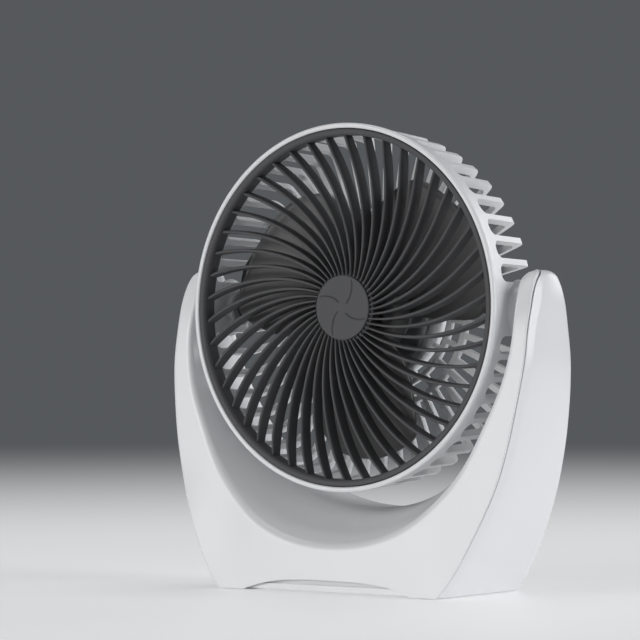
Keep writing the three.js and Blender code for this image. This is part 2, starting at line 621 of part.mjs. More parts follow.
const MOTOR_SCREW_ANGLES = [90, 210, 330];
const MOTOR_SCREW_SHANK = 1.2;
const MOTOR_SCREW_HEAD = 1.3;
const screwHoles = (from, to) => MOTOR_SCREW_ANGLES.map(
  (angle) => disc('y', MOTOR_SCREW_SHANK + 0.4, from, to, 12).translate(polar(MOTOR_SCREW_R, angle)));

function buildBasket() {
  const seat = GRILLE_R + GAP;
  const lip = lathe('y', [[seat, FRONT_Y + 0.4], [RING_R - 1.2, FRONT_Y], [RING_R - 0.3, FRONT_Y + 0.5],
    [RING_R, FRONT_Y + 1.6], [wallR(SLOT_Y), SLOT_Y], [seat, SLOT_Y]], 48);
  const wall = pivotWall();
  const body = join(lip, basketFins(), wall, mirrorX(wall), rearLattice());
  const bore = disc('x', PIN_R + GAP, PIN_IN - 10, BOSS_OUT + 10, 24);
  const grilleSeat = tube('y', GRILLE_R - 1, seat, FRONT_Y - 2, FRONT_Y + GRILLE_D + 0.4, 48);
  const leadHole = disc('x', LEAD_R + 0.6, CUP_R - 4, CUP_R + 2, 12).translate([0, LEAD_Y, 0]);
  return cut(body, bore, mirrorX(bore), screwHoles(FLOOR_Y - 3, FLOOR_Y + 5), grilleSeat, leadHole);
}

// Degrees that a vane has swept round at a radius: a logarithmic spiral that opens towards the rim.
const SPIRAL = 8.92;
const SWEEP = 0.2866;
const vaneAngle = (r) => SPIRAL * Math.log(r / 14) + SWEEP * (r - 14);

function buildGrille() {
  const [front, rear] = [FRONT_Y + 1.3, FRONT_Y + GRILLE_D - 0.6];
  const rim = lathe('y', [[RIM_IN + 0.9, FRONT_Y + 0.2], [GRILLE_R, FRONT_Y + 0.2],
    [GRILLE_R, FRONT_Y + GRILLE_D], [RIM_IN, FRONT_Y + GRILLE_D], [RIM_IN, FRONT_Y + 1.1]]);
  const collar = disc('y', HUB_R + 1.4, FRONT_Y + 2.6, rear + 0.2, VANE_COUNT / 2);
  const [root, tip] = [HUB_R + 0.35, RIM_IN + 0.8];
  const vane = loft([0, 0.14, 0.34, 0.61, 1].map((share) => {
    const r = root + share * (tip - root);
    const lean = Math.atan((SPIRAL + SWEEP * r) * DEG);
    const half = (VANE_T / 2 / Math.cos(lean) / r) / DEG;
    const at = (side, y) => {
      const [x, , z] = polar(r, vaneAngle(r) + side * half);
      return [x, y, z];
    };
    return [at(-0.9, front), at(0.9, front), at(1.15, rear), at(-1.15, rear)];
  }));
  const firstVane = 145.8;
  const vanes = Array.from({ length: VANE_COUNT }, (_, i) => vane
    .rotate([0, -firstVane - (i * 360) / VANE_COUNT, 0]));
  return join(rim, collar, vanes);
}

// Disc over the grille's hub with four shallow curved grooves.
function buildBadge() {
  const front = FRONT_Y + 0.9;
  const plate = disc('y', HUB_R, front, front + 1.4, 36);
  const groove = loft([0.16, 0.3, 0.48, 0.66, 0.82, 0.95].map((share) => {
    const [x, , z] = polar(share * HUB_R, 30 + 42 * share);
    const [sideX, , sideZ] = polar(0.22, 120 + 42 * share);
    const at = (side, y) => [x + side * sideX, y, z + side * sideZ];
    return [at(-1, front - 1), at(1, front - 1), at(1, front + 0.4), at(-1, front + 0.4)];
  }));
  return cut(plate, [0, 90, 180, 270].map((angle) => groove.rotate([0, angle, 0])));
}

// Leading edge, trailing edge and depth of a blade, by radius on a blade that runs from 18.4 to 64.
const TABLE_ROOT = 18.4;
const TABLE_TIP = 64;
const bladeLead = curveOf([[18, 112], [30, 112], [38, 113], [50, 115], [56, 119], [60, 125.5], [62, 131],
  [63.2, 137], [64, 148]]);
const bladeTrail = curveOf([[18, 205.5], [24, 204.5], [36, 200], [42, 196], [50, 190], [56, 186], [60, 183],
  [62, 180.5], [63.2, 175], [64, 164]]);
const bladeReach = curveOf([[18, 0.88], [40, 1], [52, 1], [60, 0.85], [64, 0.41]]);

function buildBlade() {
  const across = 5;
  const radii = [TABLE_ROOT, 30, 42, 52, 58.5, 62, TABLE_TIP];
  const root = ROTOR_R - 1.2;
  return loft(Array.from({ length: across + 1 }, (_, i) => {
    const s = i / across;
    const half = (BLADE_T / 2) * Math.min(1, 0.35 + 3 * Math.min(s, 1 - s));
    const point = (r, side) => {
      const radius = THREE.MathUtils.mapLinear(r, TABLE_ROOT, TABLE_TIP, root, BLADE_R);
      const [x, , z] = polar(radius, THREE.MathUtils.lerp(bladeLead(r), bladeTrail(r), s));
      return [x, BLADE_Y + (0.5 - s) * bladeReach(r) * BLADE_D + Math.sin(s * Math.PI) + side * half, z];
    };
    return [...radii.map((r) => point(r, 1)), ...radii.toReversed().map((r) => point(r, -1))];
  }), 'strip');
}

function buildImpeller() {
  const [front, rear] = [HUB_FRONT, CAN_FRONT + 2.6];
  const inside = ROTOR_R - HUB_WALL;
  const spindle = SHAFT_R + GAP + 2.8;
  const spindleEnd = CAN_FRONT - 1.6;
  const hub = lathe('y', [[0, front], [ROTOR_R - 3.5, front + 0.2], [ROTOR_R - 0.8, front + 1.8],
    [ROTOR_R, front + 4.5], [ROTOR_R, rear], [inside, rear], [inside, front + 4.6],
    [inside - 1.8, front + 2.2], [spindle, front + 2.2], [spindle, spindleEnd], [0, spindleEnd]], 40);
  const blade = buildBlade();
  const blades = Array.from({ length: BLADE_COUNT },
    (_, i) => blade.rotate([0, (-i * 360) / BLADE_COUNT, 0]));
  return cut(join(hub, blades), disc('y', SHAFT_R + GAP, front + 1.6, CAN_FRONT, 16));
}

const buildShaft = () => lathe('y', [[0, HUB_FRONT + 2], [SHAFT_R - 0.3, HUB_FRONT + 2],
  [SHAFT_R, HUB_FRONT + 2.4], [SHAFT_R, CAN_REAR - 0.4], [0, CAN_REAR - 0.4]], 24);

const BUSH_R = SHAFT_R + 1.8;
const BUSH_AIR = 0.05;
const BUSH_L = 5;
function buildMotorCan() {
  const bore = BUSH_R + GAP;
  const can = lathe('y', [[bore, CAN_FRONT], [MOTOR_R - 1.2, CAN_FRONT], [MOTOR_R, CAN_FRONT + 1.2],
    [MOTOR_R, CAN_REAR - 1.6], [FLANGE_R, CAN_REAR - 1.6], [FLANGE_R, CAN_REAR], [bore, CAN_REAR]], 28);
  return cut(can, screwHoles(CAN_REAR - 4, CAN_REAR + 2));
}
const buildBush = (from) => tube('y', SHAFT_R + BUSH_AIR, BUSH_R, from, from + BUSH_L, 24);

const buildRearCap = () => lathe('y', [[0, FLOOR_Y + 4.4], [CUP_R - 2 - GAP, FLOOR_Y + 4.4],
  [CUP_R - 2 - GAP, BACK_Y + 2.4], [CUP_R - 3.4, BACK_Y + 3.2], [0, BACK_Y + 3.6]], 32);

// Lead from the right-hand pin, along the back of the basket, to the edge of the motor's flange.
const buildLead = () => wire([[PIN_IN - 7, 2.6, -5.2], [PIN_IN - 9, 4.6, -4],
  [(PIN_IN + RING_A) / 2 + 1.8, LEAD_Y, -1.6], [RING_A + 4, LEAD_Y, 0], [CUP_R + 3, LEAD_Y, 0],
  [FLANGE_R + GAP, LEAD_Y, 0]], LEAD_R);

// ---------------------------------------------------------------- materials
const WHITE = { color: 0xe4e5e6, roughness: 0.42, metalness: 0 };
const DARK = { color: 0x4c4c4d, roughness: 0.5, metalness: 0 };
const BLADE = { color: 0x545455, roughness: 0.38, metalness: 0 };
const RUBBER = { color: 0x3a3a3c, roughness: 0.85, metalness: 0 };
const STEEL = { color: 0x9b9da0, roughness: 0.35, metalness: 1 };
const BLACKENED = { color: 0x2a2b2d, roughness: 0.45, metalness: 0.8 };
const BRASS = { color: 0xb08d4f, roughness: 0.35, metalness: 1 };
const BOARD = { color: 0x1f6a45, roughness: 0.45, metalness: 0 };
const GREY = { color: 0x8e9194, roughness: 0.5, metalness: 0 };
const LENS = { color: 0xbfe6ff, roughness: 0.15, metalness: 0 };
const SOFT_BLACK = { color: 0x1d1d1f, roughness: 0.55, metalness: 0 };

// ---------------------------------------------------------------- assembly
const fan = new THREE.Group();
fan.name = 'desk_fan';
const base = new THREE.Group();
const head = new THREE.Group();
const rotor = new THREE.Group();
fan.add(base, head);
head.add(rotor);
head.position.set(0, PIVOT_Y, PIVOT_Z);
head.rotation.x = -REST_TILT * DEG;

function place(group, name, solid, material, position = [0, 0, 0]) {
  const { vertProperties, triVerts } = solid.getMesh();
  const geometry = new THREE.BufferGeometry();
  geometry.setAttribute('position', new THREE.BufferAttribute(vertProperties, 3));
  geometry.setIndex(new THREE.BufferAttribute(triVerts, 1));
  geometry.computeVertexNormals();
  const mesh = new THREE.Mesh(geometry, new THREE.MeshStandardMaterial(material));
  mesh.name = name;
  mesh.position.set(...position);
  group.add(mesh);
}

const shells = buildShells();
place(base, 'base_front_shell', shells.front, WHITE);
place(base, 'base_rear_shell', shells.rear, WHITE);
place(base, 'bottom_cover', buildCover(), WHITE);
feet.forEach(([x, y], i) => place(base, `foot_${i + 1}`, buildFoot(), RUBBER, [x, y, 0]));
coverScrews.forEach(([x, y], i) => place(base, `cover_screw_${i + 1}`,
  screw('z', COVER_SCREW_HEAD, 1, COVER_SCREW_SHANK, 10), STEEL, [x, y, FOOT_H + 0.2]));
place(base, 'ballast_plate', buildBallast(), STEEL);
place(base, 'control_board', buildBoard(), BOARD);
boardScrews.forEach(([x, z], i) => place(base, `board_screw_${i + 1}`,
  screw('y', 2.7, BOARD_SCREW_HEAD, BOARD_SCREW_SHANK, BOARD_T + 6), STEEL,
  [x, BOARD_Y - BOARD_T - GAP - BOARD_SCREW_HEAD, z]));
place(base, 'usb_socket', buildUsbShell(), STEEL, [USB_X, 0, USB_Z]);
place(base, 'usb_tongue', buildUsbTongue(), SOFT_BLACK, [USB_X, 0, USB_Z]);
place(base, 'switch_body', buildSwitch(), SOFT_BLACK);
place(base, 'switch_stem', buildStem(), SOFT_BLACK, [0, SWITCH_TOP, BUTTON_Z]);
place(base, 'speed_button', buildButton(), GREY, [0, BUTTON_FACE, BUTTON_Z]);
place(base, 'power_light', disc('y', LED_R, BOARD_Y + GAP, BUTTON_FACE - 0.2, 16), LENS,
  [LED_X, 0, BUTTON_Z]);

const washer = tube('x', PIN_R + GAP, PIN_R + 3, BOSS_OUT + GAP, BOSS_OUT + GAP + WASHER_T, 20);
const keeper = tube('x', PIN_BORE - 0.2, KEEPER_R, PIN_IN - GAP - KEEPER_T, PIN_IN - GAP, 20);
const pinScrew = screw('x', PIN_HEAD_R, PIN_HEAD_T, PIN_BORE - 0.5, 11).translate([PIN_SCREW_IN, 0, 0]);
for (const [side, turned] of [['right', (solid) => solid], ['left', mirrorX]]) {
  const onAxis = [0, PIVOT_Y, PIVOT_Z];
  place(base, `tilt_pin_${side}`, turned(buildPin()), WHITE, onAxis);
  place(base, `tilt_washer_${side}`, turned(washer), GREY, onAxis);
  place(base, `pin_keeper_${side}`, turned(keeper), GREY, onAxis);
  place(base, `pin_screw_${side}`, turned(pinScrew), BLACKENED, onAxis);
}

place(head, 'head_basket', buildBasket(), WHITE);
place(head, 'front_grille', buildGrille(), DARK);
place(head, 'grille_badge', buildBadge(), DARK);
place(head, 'motor_can', buildMotorCan(), STEEL);
place(head, 'motor_bush_front', buildBush(CAN_FRONT - 0.6), BRASS);
place(head, 'motor_bush_rear', buildBush(CAN_REAR - BUSH_L), BRASS);
MOTOR_SCREW_ANGLES.forEach((angle, i) => {
  const [x, , z] = polar(MOTOR_SCREW_R, angle);
  const motorScrew = screw('y', 2.6, MOTOR_SCREW_HEAD, MOTOR_SCREW_SHANK, 3.2).mirror([0, 1, 0]);
  place(head, `motor_screw_${i + 1}`, motorScrew, STEEL, [x, FLOOR_Y + 2.2 + GAP + MOTOR_SCREW_HEAD, z]);
});
place(head, 'rear_cap', buildRearCap(), WHITE);
place(head, 'motor_lead', buildLead(), SOFT_BLACK);
place(rotor, 'impeller', buildImpeller(), BLADE);
place(rotor, 'motor_shaft', buildShaft(), STEEL);

export default fan;
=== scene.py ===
import json
import math

import bmesh
import bpy
import numpy as np
from bpy.props import FloatProperty, FloatVectorProperty, IntProperty, PointerProperty
from mathutils import Matrix, Vector


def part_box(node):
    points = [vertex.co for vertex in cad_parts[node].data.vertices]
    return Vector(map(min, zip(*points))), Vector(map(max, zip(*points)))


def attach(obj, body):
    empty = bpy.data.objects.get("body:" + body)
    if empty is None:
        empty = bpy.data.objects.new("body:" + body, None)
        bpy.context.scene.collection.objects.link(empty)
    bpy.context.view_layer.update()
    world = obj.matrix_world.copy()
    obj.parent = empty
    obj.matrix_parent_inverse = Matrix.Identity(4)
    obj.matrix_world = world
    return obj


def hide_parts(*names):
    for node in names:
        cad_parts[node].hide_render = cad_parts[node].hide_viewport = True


bl_info = {
    "name": "Desk Fan Maker",
    "version": (1, 0, 0),
    "blender": (4, 5, 0),
    "location": "View3D > Sidebar > Desk Fan",
    "description": "Builds a yoke-mounted desk fan piece by piece around its packed frame",
    "category": "Object",
}

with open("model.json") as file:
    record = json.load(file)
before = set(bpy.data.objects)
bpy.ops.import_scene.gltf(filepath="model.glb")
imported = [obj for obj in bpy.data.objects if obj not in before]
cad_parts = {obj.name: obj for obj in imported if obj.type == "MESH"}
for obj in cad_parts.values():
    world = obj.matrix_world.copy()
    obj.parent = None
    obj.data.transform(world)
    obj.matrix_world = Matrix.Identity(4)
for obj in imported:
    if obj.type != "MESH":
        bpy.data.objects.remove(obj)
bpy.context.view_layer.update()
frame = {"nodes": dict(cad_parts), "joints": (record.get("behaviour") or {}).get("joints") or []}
MM = 0.001
DEG = math.pi / 180

# ------------------------------------------------------------------ places taken from the frame
JOINTS = {j["name"]: j for j in frame["joints"]}
PIVOT = Vector(JOINTS["head_tilt"]["pos_m"]) / MM
SPIN_AXIS = Vector(JOINTS["fan_spin"]["axis"])
REST_TILT = math.atan2(SPIN_AXIS.z, -SPIN_AXIS.y)
HEAD = Matrix.Translation(PIVOT) @ Matrix.Rotation(-REST_TILT, 4, "X")


def node_box(node):
    """Lowest and highest corner of a CAD node in millimetres."""
    low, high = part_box(node)
    return Vector(low) / MM, Vector(high) / MM


def node_middle(node):
    """Middle of a CAD node's box in millimetres."""
    return [(a + b) / 2 for a, b in zip(*node_box(node))]


def side_span(node):
    """Nearest and farthest distance of a CAD node's ends from the middle plane, in millimetres."""
    low, high = node_box(node)
    return sorted((abs(low.x), abs(high.x)))


def head_reach(node):
    """Largest distance of a CAD node from the spin axis, in millimetres."""
    thing = frame["nodes"][node]
    place = HEAD.inverted() @ Matrix.Scale(1 / MM, 4) @ thing.matrix_world
    points = [place @ v.co for v in thing.data.vertices]
    return max(math.hypot(p.x, p.z) for p in points)


BLADE_REACH = head_reach("impeller")


# ------------------------------------------------------------------ settings
def size(name, description, default):
    """A size in millimetres, shown in the sidebar."""
    return FloatProperty(name=name, description=description, default=default, min=0,
                         subtype="NONE", unit="NONE")


class FanBaseSettings(bpy.types.PropertyGroup):
    ring_radius: size("Head radius", "Outside radius of the head's front lip, mm", 77.5)
    arm_gap: size("Arm gap", "Free space between the head and the yoke's rear edge, mm", 7.0)
    foot_height: size("Foot height", "The shells stand this far off the table, mm", 0.4)
    shell_wall: size("Shell wall", "Wall thickness of the base shells, mm", 1.8)
    seam_gap: size("Seam gap", "Open joint between the two shells, mm", 0.2)
    arch_height: size("Arch height", "Height of the low arch along the front edge, mm", 5.2)


class FanHeadSettings(bpy.types.PropertyGroup):
    depth: size("Head depth", "Depth of the rear basket, mm", 34.0)
    fin_count: IntProperty(name="Fins", description="Fins around the basket", default=48, min=12)
    fin_width: size("Fin width", "Width of one side fin, mm", 2.5)
    vane_count: IntProperty(name="Vanes", description="Swirled vanes of the front grille", default=46, min=8)
    vane_front: size("Vane edge", "Thickness of a vane's front edge, mm", 1.25)
    blade_count: IntProperty(name="Blades", description="Blades of the impeller", default=3, min=2)
    blade_radius: size("Blade radius", "Tip radius of the impeller, mm", BLADE_REACH)


class FanFinishSettings(bpy.types.PropertyGroup):
    shell: FloatVectorProperty(name="Shell", description="Colour of the white mouldings", subtype="COLOR",
                               default=(0.80, 0.805, 0.81), min=0, max=1)
    grille: FloatVectorProperty(name="Grille", description="Colour of the front grille", subtype="COLOR",
                                default=(0.024, 0.024, 0.025), min=0, max=1)
    blade: FloatVectorProperty(name="Blade", description="Colour of the impeller", subtype="COLOR",
                               default=(0.036, 0.036, 0.037), min=0, max=1)
    rubber: FloatVectorProperty(name="Rubber", description="Colour of the feet", subtype="COLOR",
                                default=(0.040, 0.040, 0.042), min=0, max=1)
    floor: FloatVectorProperty(name="Floor", description="Colour of the floor", subtype="COLOR",
                               default=(0.86, 0.865, 0.87), min=0, max=1)


def base_settings():
    return bpy.context.scene.fan_base


def head_settings():
    return bpy.context.scene.fan_head


def finish_settings():
    return bpy.context.scene.fan_finish


# ------------------------------------------------------------------ mesh helpers
def make_piece(name, verts, faces, place=None, smooth=35):
    """A closed mesh from millimetre points; smooth is the angle above which an edge stays sharp."""
    mesh = bpy.data.meshes.new(name)
    move = (place or Matrix.Identity(4))
    points = [(move @ Vector(v)) * MM for v in verts]
    mesh.from_pydata([tuple(p) for p in points], [], faces)
    bm = bmesh.new()
    bm.from_mesh(mesh)
    bmesh.ops.remove_doubles(bm, verts=bm.verts, dist=0.004 * MM)
    bmesh.ops.dissolve_degenerate(bm, dist=0.002 * MM, edges=bm.edges)
    bmesh.ops.recalc_face_normals(bm, faces=bm.faces)
    limit = math.radians(smooth)
    for face in bm.faces:
        face.smooth = True
    for edge in bm.edges:
        if len(edge.link_faces) == 2 and edge.calc_face_angle(0) > limit:
            edge.smooth = False
    bm.to_mesh(mesh)
    bm.free()
    piece = bpy.data.objects.new(name, mesh)
    bpy.context.scene.collection.objects.link(piece)
    return piece


def settle(piece, body, slot, *nodes):
    """Gives a finished piece its material, its body and the CAD nodes it stands for."""
    piece.data.materials.clear()
    piece.data.materials.append(material(slot))
    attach(piece, body)
    if nodes:
        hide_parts(*nodes)


class Soup:
    """Collects vertices and faces of several closed bodies for one mesh."""

    def __init__(self):
        self.verts = []
        self.faces = []

    def add(self, verts, faces):
        base = len(self.verts)
        self.verts.extend(verts)
        self.faces.extend([tuple(i + base for i in f) for f in faces])

    def turned(self, verts, faces, angle, axis="Y"):
        turn = Matrix.Rotation(angle, 4, axis)
        self.add([tuple(turn @ Vector(v)) for v in verts], faces)


def lathe(profile, segments=96, axis="Y", centre=(0, 0, 0)):
    """Full revolve of a closed (radius, height) outline about an axis through centre."""
    verts = []
    n = len(profile)
    for i in range(segments):
        a = 2 * math.pi * i / segments
        c, s = math.cos(a), math.sin(a)
        for r, h in profile:
            p = {"Y": (r * c, h, r * s), "X": (h, r * c, r * s), "Z": (r * c, r * s, h)}[axis]
            verts.append(tuple(p[k] + centre[k] for k in range(3)))
    faces = []
    for i in range(segments):
        p, q = i * n, ((i + 1) % segments) * n
        for j in range(n):
            k = (j + 1) % n
            faces.append((p + j, p + k, q + k, q + j))
    return verts, faces


def fillet(outline, steps=4):
    """Rounds an outline given as (x, y, radius) corners with short curves."""
    out = []
    n = len(outline)
    for i, (x, y, r) in enumerate(outline):
        if r <= 0:
            out.append((x, y))
            continue
        here = Vector((x, y))
        back = (Vector(outline[i - 1][:2]) - here)
        on = (Vector(outline[(i + 1) % n][:2]) - here)
        reach = min(r, back.length * 0.48, on.length * 0.48)
        a, b = here + back.normalized() * reach, here + on.normalized() * reach
        for k in range(steps + 1):
            t = k / steps
            p = a * (1 - t) ** 2 + here * 2 * t * (1 - t) + b * t * t
            out.append((p.x, p.y))
    return out


def loft(loops, cap="fan"):
    """Closed skin over equal-length loops; 'strip' caps suit thin loops that run out and back."""
    n = len(loops[0])
    verts = [tuple(p) for loop in loops for p in loop]
    faces = []
    for i in range(len(loops) - 1):
        for j in range(n):
            k = (j + 1) % n
            faces.append((i * n + j, i * n + k, (i + 1) * n + k, (i + 1) * n + j))
    for at in (0, (len(loops) - 1) * n):
        if cap == "strip":
            for j in range(n // 2 - 1):
                faces.append((at + j, at + j + 1, at + n - 2 - j, at + n - 1 - j))
        else:
            mid = [sum(verts[at + j][c] for j in range(n)) / n for c in range(3)]
            verts.append(tuple(mid))
            m = len(verts) - 1
            faces.extend((m, at + j, at + (j + 1) % n) for j in range(n))
    return verts, faces


def tube_along(points, radius, sides=14, per_span=8):
    """Round tube through points on a smooth curve."""
    pts = [Vector(p) for p in points]
    path = []
    for i in range(len(pts) - 1):
        p0, p1, p2, p3 = pts[max(i - 1, 0)], pts[i], pts[i + 1], pts[min(i + 2, len(pts) - 1)]
        for k in range(per_span):
            t = k / per_span
            path.append(0.5 * (2 * p1 + (p2 - p0) * t + (2 * p0 - 5 * p1 + 4 * p2 - p3) * t * t
                               + (3 * p1 - p0 - 3 * p2 + p3) * t ** 3))
    path.append(pts[-1])
    loops = []
    side = None
    for i, p in enumerate(path):
        along = (path[min(i + 1, len(path) - 1)] - path[max(i - 1, 0)]).normalized()
        side = (Vector((0.3, 0.2, 1)) if side is None else side)
        side = (side - along * side.dot(along)).normalized()
        other = along.cross(side)
        loops.append([p + radius * (side * math.cos(a) + other * math.sin(a))
                      for a in (2 * math.pi * j / sides for j in range(sides))])
    return loft(loops)


def bevel(piece, width, segments=2, angle=40):
    """Softens the piece's sharp edges; width in millimetres."""
    mod = piece.modifiers.new("Soft edges", "BEVEL")
    mod.width = width * MM
    mod.segments = segments
    mod.limit_method = "ANGLE"
    mod.angle_limit = math.radians(angle)
    mod.harden_normals = False


def cut(piece, verts, faces, place=None):
    """Cuts a closed tool body out of a piece for good."""
    tool = make_piece("cutter", verts, faces, place)
    mod = piece.modifiers.new("Cut", "BOOLEAN")
    mod.operation = "DIFFERENCE"
    mod.solver = "EXACT"
    mod.object = tool
    graph = bpy.context.evaluated_depsgraph_get()
    mesh = bpy.data.meshes.new_from_object(piece.evaluated_get(graph))
    piece.modifiers.clear()
    old = piece.data
    piece.data = mesh
    mesh.name = piece.name
    bpy.data.meshes.remove(old)
    bpy.data.objects.remove(tool)


def curve_of(pairs):
    """Smooth monotone interpolation through (x, y) pairs, held level outside the range."""
    x = [p[0] for p in pairs]
    y = [p[1] for p in pairs]
    n = len(x)
    d = [(y[i + 1] - y[i]) / (x[i + 1] - x[i]) for i in range(n - 1)]
    m = [d[0]] + [0 if d[i - 1] * d[i] <= 0 else 2 * d[i - 1] * d[i] / (d[i - 1] + d[i])
                  for i in range(1, n - 1)] + [d[-1]]

    def at(v):
        if v <= x[0]:
            return y[0]
        if v >= x[-1]:
            return y[-1]
        i = next(k for k in range(n - 1) if v < x[k + 1])
        h = x[i + 1] - x[i]
        t = (v - x[i]) / h
        return (y[i] * (1 + 2 * t) * (1 - t) ** 2 + m[i] * h * t * (1 - t) ** 2
                + y[i + 1] * t * t * (3 - 2 * t) + m[i + 1] * h * t * t * (t - 1))

    return at


def softened(pairs, low, high, step=0.5, width=7.0, keep_from=None):
    """curve_of with its small ripples averaged out, except beyond keep_from."""
    raw = curve_of(pairs)
    xs = np.arange(low - 3 * width, high + 3 * width, step)
    ys = np.array([raw(abs(v) if low >= 0 else v) for v in xs])
    k = max(3, int(width / step) | 1)
    soft = ys.copy()
    for _ in range(2):
        pad = np.concatenate([np.full(k // 2, soft[0]), soft, np.full(k // 2, soft[-1])])
        soft = np.convolve(pad, np.ones(k) / k, "valid")
    if keep_from is not None:
        w = np.clip((xs - (keep_from - width)) / width, 0, 1)
        w = w * w * (3 - 2 * w)
        soft = soft * (1 - w) + ys * w
    return lambda v: float(np.interp(v, xs, soft))


def smooth_step(a, b, x):
    t = min(1.0, max(0.0, (x - a) / (b - a)))
    return t * t * (3 - 2 * t)


# ------------------------------------------------------------------ shape of the yoke
# The yoke is a ring section swept about the tilt centre; the angle is taken from straight down.
TIP_ANGLE = 100.8
TIP_ROUND = 2.3
FRONT_BOW = 0.5
TIP_NARROWING = 0.6
# Side seam: how far behind the front edge it lies, where the front shell falls towards it and by
# how much, over what depth the rear shell rises again, and over what run the walls thin.
SEAM_SET_BACK = 2.3
SEAM_FALL = 1.8
SEAM_DIP = 0.9
SEAM_RISE = 4.5
SEAM_THIN = 5.0
INNER_FRONT = softened([(0, 99), (10, 99), (16, 98.6), (24, 97.6), (32, 94.8), (40, 92.4), (48, 89.4),
                        (57, 86.3), (69, 84.8), (83, 82.9), (92, 81.6), (101, 81.6)], 0, 101)
OUTER_EDGE = softened([(0, 131), (14, 134.5), (20, 135), (25.7, 131.1), (37, 118.4), (48.9, 107.5),
                       (56.5, 101.7), (66, 96.1), (76.3, 92.6), (86.8, 90.4), (92.2, 90.5), (97.8, 90.2),
                       (101, 90.2)], 0, 101, width=4)
FRONT_FACE = softened([(-12, -22.4), (0.9, -20.9), (24.5, -18.1), (48.3, -13.9), (62.8, -12.3),
                       (79.9, -10.4), (97, -7.9), (114, -4.9), (122.4, -2.2), (128, 0.2), (131.1, 2.3),
                       (133.4, 5.2), (134.9, 8.3), (135.6, 11.6)], -12, 136, step=0.25, width=9,
                      keep_from=124)
REAR_FACE = softened([(-12, 42.6), (0, 41.5), (21.6, 39.2), (46.1, 36.7), (78.7, 33.8), (94.5, 31.4),
                      (104.9, 29.5), (113.7, 27.6), (121.6, 25.3), (127.4, 23.5), (131.1, 21.4),
                      (133.9, 18.4), (135.2, 15.3), (135.6, 12.2)], -12, 136, step=0.25, width=9,
                     keep_from=124)
# Depth of the tilt centre in the two face tables.
TABLE_PIVOT_Y = 12
# Half width of the arch along the front edge, and how square its ends are.
ARCH_HALF = 43.0
ARCH_POWER = 3.2


def tip_squash(f):
    """How much of its thickness the yoke keeps towards a tip."""
    t = min(1.0, max(0.0, (f - TIP_ANGLE + TIP_ROUND) / TIP_ROUND))
    return math.sqrt(max(0.0, 1 - t * t)) * 0.97 + 0.03


def section_corners(angle):
    """Corners of the yoke's section at one angle, as (distance from tilt centre, depth)."""
    f = abs(angle)
    open_r = base_settings().ring_radius + base_settings().arm_gap
    ra, rb, rd = INNER_FRONT(f), OUTER_EDGE(f), open_r
    rc = rb - 0.9 * smooth_step(26, 60, f)
    mid = (ra + rb) / 2
    level = smooth_step(75, 90, f)
    squash = tip_squash(f)

    def high(r):
        return PIVOT.z - (r + (mid - r) * level) * math.cos(f * DEG)

    def flat(r):
        return mid + (r - mid) * squash

    def deep(table, z):
        return PIVOT.y + table(z) - TABLE_PIVOT_Y

    front_edge = rb - TIP_NARROWING * smooth_step(72, 97, f)
    bow = -FRONT_BOW * (1 - smooth_step(0, 26, f))
    a = Vector((flat(ra), deep(FRONT_FACE, high(ra))))
    b = Vector((flat(front_edge), deep(FRONT_FACE, high(rb)) + bow))
    c = Vector((flat(rc), deep(REAR_FACE, high(rc))))
    d = Vector((flat(rd), deep(REAR_FACE, high(rd))))
    run = min(0.5, 0.2 + max(0.0, ra - rd) * 1.15 / (d.y - a.y + 0.01))
    m = Vector((flat(rd - 0.1), a.y + (d.y - a.y) * run))
    bulge = (flat(max(rb, rc) + 0.8 * smooth_step(26, 45, f)) - (b.x + c.x) / 2)
    depth = max(0.0, c.y - b.y)
    return {"a": a, "b": b, "c": c, "d": d, "m": m, "bulge": bulge, "round": squash,
            "seam_out": b.y + min(SEAM_SET_BACK, 0.3 * depth),
            "seam_gap": base_settings().seam_gap * min(1.0, depth / 16),
            "seam_dip": SEAM_DIP * (1 - smooth_step(93, 99.5, f)),
            "seam_in": d.y - (5 + 8 * (1 - smooth_step(35, 60, f)))}


def bend(before, corner, after, reach_a, reach_b, steps):
    """Points round a corner, with its reach along each edge."""
    u, v = before - corner, after - corner
    p = corner + u.normalized() * min(reach_a, 0.47 * u.length)
    q = corner + v.normalized() * min(reach_b, 0.47 * v.length)
    return [p * (1 - t) ** 2 + corner * 2 * t * (1 - t) + q * t * t
            for t in (k / steps for k in range(steps + 1))]


def fill(p, q, steps):
    """Points strictly between p and q."""
    return [p.lerp(q, k / steps) for k in range(1, steps)]


def front_path(angle):
    """Outside of the front shell's section, from the side seam round to the inner seam."""
    s = section_corners(angle)
    start = Vector((s["b"].x - s["seam_dip"], s["seam_out"]))
    strip = s["seam_out"] - s["b"].y
    shoulder = Vector((s["b"].x, s["seam_out"] - strip * SEAM_FALL / SEAM_SET_BACK))
    fall = bend(start, shoulder, s["b"], 0.5, 0.3, 4)
    rim = fall + bend(shoulder, s["b"], s["a"], 0.8, 1.1 * s["round"], 6)
    lip = bend(s["b"], s["a"], s["m"], 2.4 * s["round"], 2.8, 9)
    hollow = bend(s["a"], s["m"], s["d"], 12, 9, 10)
    end = Vector((s["d"].x, s["seam_in"]))
    end = s["m"].lerp(s["d"], min(0.97, max(0.05, (end.y - s["m"].y) / (s["d"].y - s["m"].y + 1e-6))))
    near = rim[-1].lerp(lip[0], 0.03)
    far = rim[-1].lerp(lip[0], 0.97)
    return ([start] + rim + [near] + fill(near, far, 12) + [far] + lip + fill(lip[-1], hollow[0], 8)
            + hollow + fill(hollow[-1], end, 6) + [end])


